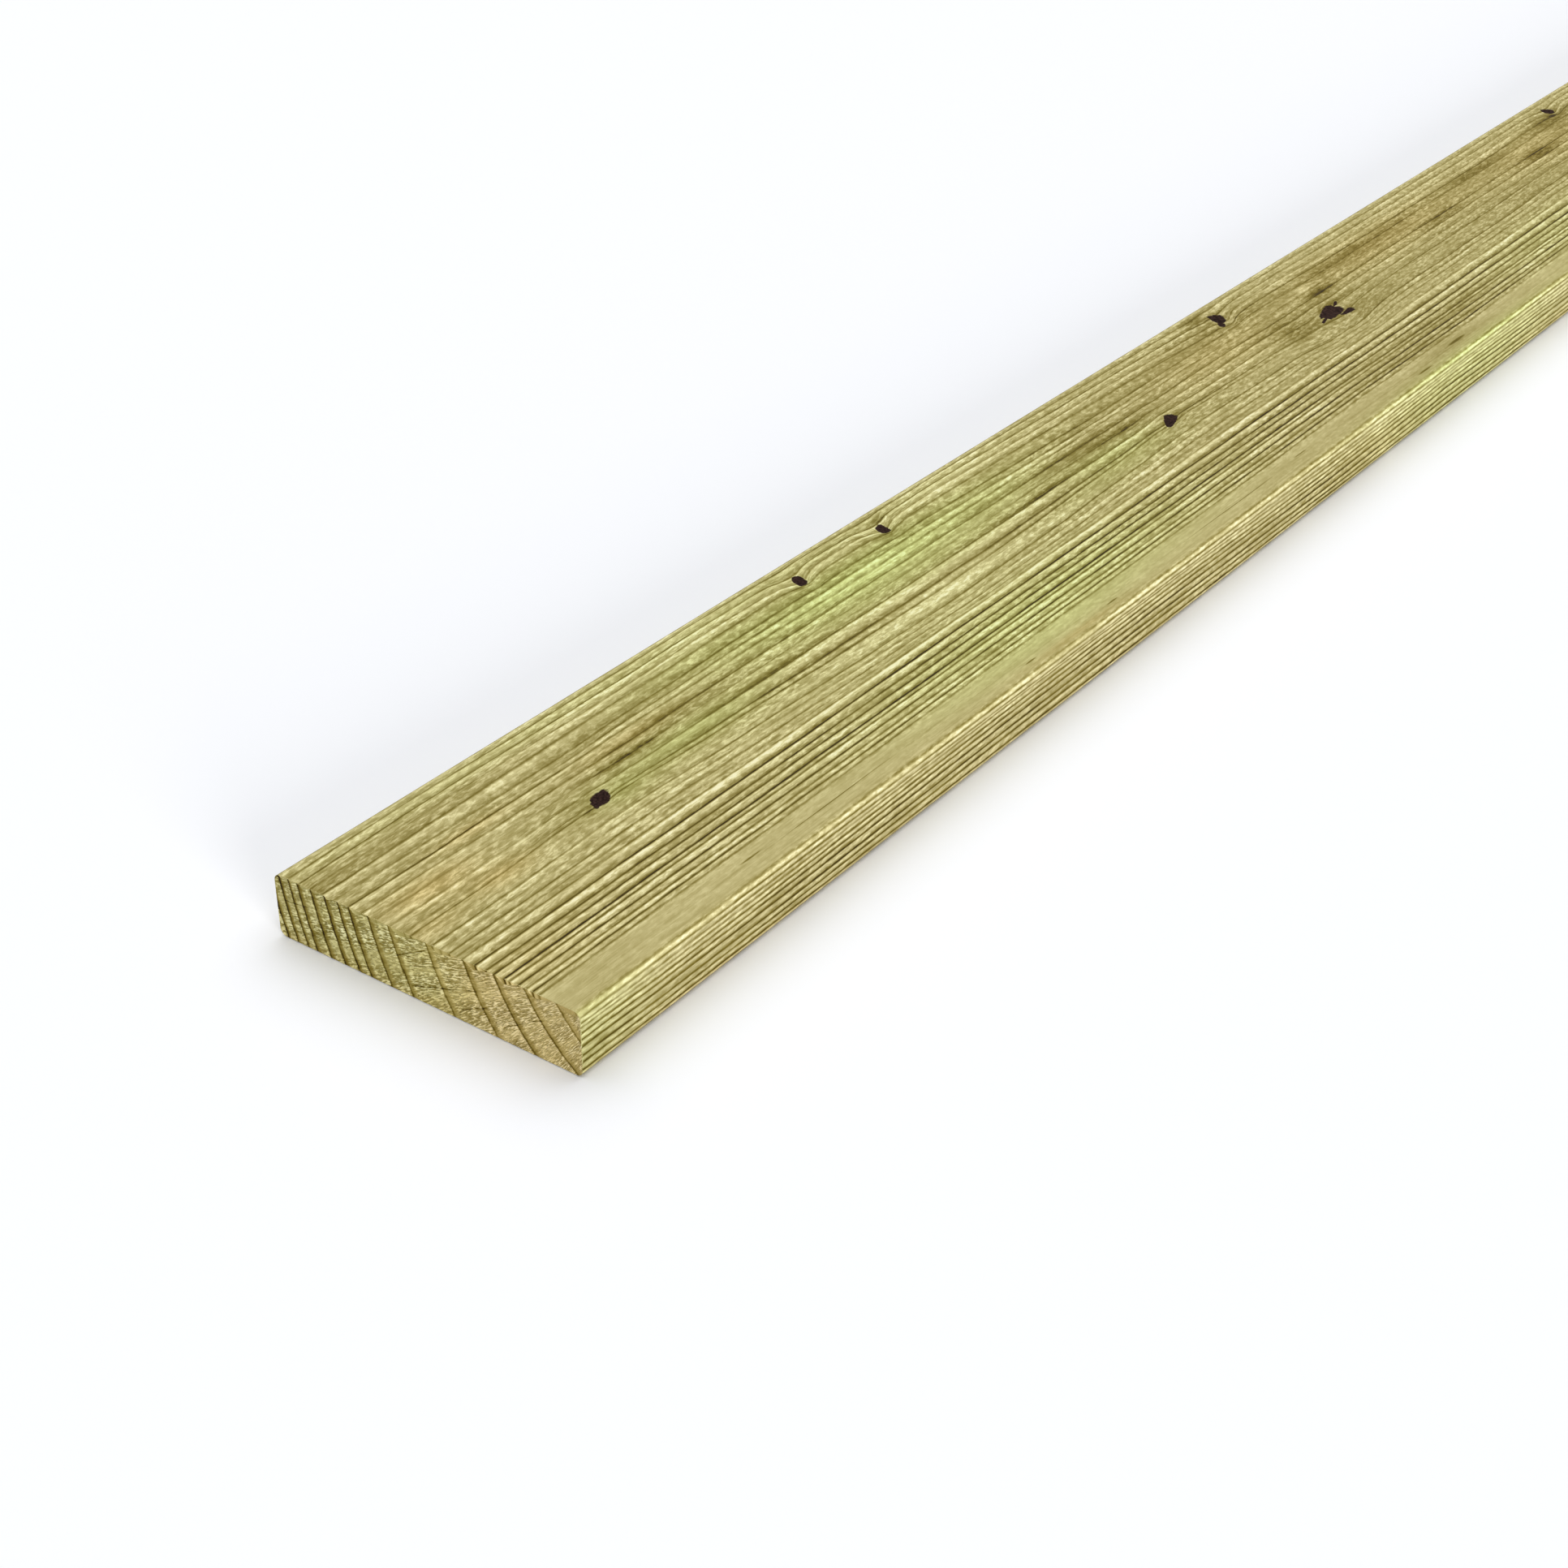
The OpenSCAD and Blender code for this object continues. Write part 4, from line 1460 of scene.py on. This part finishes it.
def sawn_wood():
    """Material of the two saw cuts."""
    material, tree, shader = new_material("sawn_treated_pine")
    _, number, width, strength = read_attribute(tree, "rings")
    _, from_pith, round_pith, _ = read_attribute(tree, "grain")
    _, across, depth, late_width = read_attribute(tree, "detail")
    _, green, warm, shade = read_attribute(tree, "tint")
    since = sum_of(tree, "MULTIPLY", sum_of(tree, "FRACT", number), width)
    until = sum_of(tree, "SUBTRACT", width, since)
    fibres = use_group(tree, fibre_group, {
        "Along": from_pith, "Across": round_pith, "Seed": 7.0, "Streak Length": 3.0, "Streak Width": 9.0,
        "Thread Length": 26.0, "Thread Width": 2.4})
    torn = use_group(tree, torn_group, {"Out": from_pith, "Round": round_pith})
    growth = use_group(tree, growth_group, {
        "Since Line": since, "Until Line": until, "Dark": strength, "Last Dark": 0.6, "Last Pale": 1.0,
        "Waver": sum_of(tree, "MULTIPLY", fibres["Streak"], 0.12),
        "Core Width": 1.2, "Core Depth": 0.33, "Band Depth": 0.0,
        "Spring Start": 0.4, "Spring Width": 3.0, "Spring Light": 0.09})
    late = fade(tree, sum_of(tree, "DIVIDE", until, late_width), 0.45, 1.1, 1.0, 0.0)
    rough_part = sum_of(tree, "MULTIPLY_ADD", late, -0.82, 1.0)
    dash = sum_of(tree, "MULTIPLY", torn["Dash"], rough_part)
    dash = sum_of(tree, "MULTIPLY", dash, sum_of(tree, "MULTIPLY_ADD", fibres["Cloud"], 0.5, 1.0))
    pit = sum_of(tree, "MULTIPLY", torn["Pit"], rough_part)
    check = drying_checks(tree, across, depth, sum_of(tree, "MULTIPLY", fibres["Thread"], 0.35))
    late_strength = sum_of(tree, "MULTIPLY", late, strength)
    late_mottle = sum_of(tree, "MULTIPLY_ADD", fibres["Fleck"], 0.25, 1.0)
    late_strength = sum_of(tree, "MULTIPLY", late_strength, late_mottle)
    tone = sum_of(tree, "ADD", END_TONE, growth["Tone"])
    tone = layered(tree, tone, [
        (shade, 1.0), (late_strength, LATE_TONE), (fibres["Streak"], 0.025), (fibres["Thread"], 0.035),
        (dash, DASH_TONE), (pit, PIT_TONE), (check, CHECK_TONE)])

    _, face_since, face_until, face_dark = read_attribute(tree, "face_rings")
    _, face_last_dark, face_pale, _ = read_attribute(tree, "face_marks")
    face_growth = use_group(tree, growth_group, {
        "Since Line": face_since, "Until Line": face_until, "Dark": face_dark, "Last Dark": face_last_dark,
        "Last Pale": face_pale})
    drop = fade(tree, sum_of(tree, "DIVIDE", until, width), 0.0, STEP_PEAK)
    run_out = sum_of(tree, "DIVIDE", sum_of(tree, "FRACT", number), 1 - STEP_PEAK)
    step_depth = sum_of(tree, "MINIMUM", STEP_REACH, sum_of(tree, "MULTIPLY", width, STEP_SHARE))
    step_depth = sum_of(tree, "MULTIPLY", step_depth, sum_of(tree, "MINIMUM", drop, run_out))
    step_edge = sum_of(tree, "SUBTRACT", step_depth, depth)
    step = fade(tree, sum_of(tree, "MULTIPLY_ADD", torn["Dash"], 0.15, step_edge), 0.0, 0.25)
    step_tone = sum_of(tree, "ADD", STEP_TONE, face_growth["Tone"])
    tone = between(tree, step, tone, step_tone)
    warm = sum_of(tree, "MULTIPLY_ADD", late_strength, 0.5, warm)
    wood = use_group(tree, colour_group, {"Tone": tone, "Green": green, "Warm": warm})["Color"]
    tree.links.new(wood, shader.inputs["Base Color"])
    shader.inputs["Roughness"].default_value = 0.85
    shader.inputs["Specular IOR Level"].default_value = 0.06
    height = sum_of(tree, "MULTIPLY_ADD", dash, 0.5, late)
    height = sum_of(tree, "SUBTRACT", height, pit)
    height = sum_of(tree, "SUBTRACT", height, check)
    height = sum_of(tree, "MULTIPLY", height, sum_of(tree, "SUBTRACT", 1.0, step))
    bump = add_node(tree, "Bump", {"Strength": 0.8, "Distance": 0.00030, "Height": height})
    tree.links.new(bump, shader.inputs["Normal"])
    return material


board_mesh.materials.append(sawn_wood())
finish_of_face = np.zeros(len(quads), np.int32)
finish_of_face[len(skin_quads):] = 1
board_mesh.polygons.foreach_set("material_index", finish_of_face)
board_mesh.update()
print("sawn ends ready")
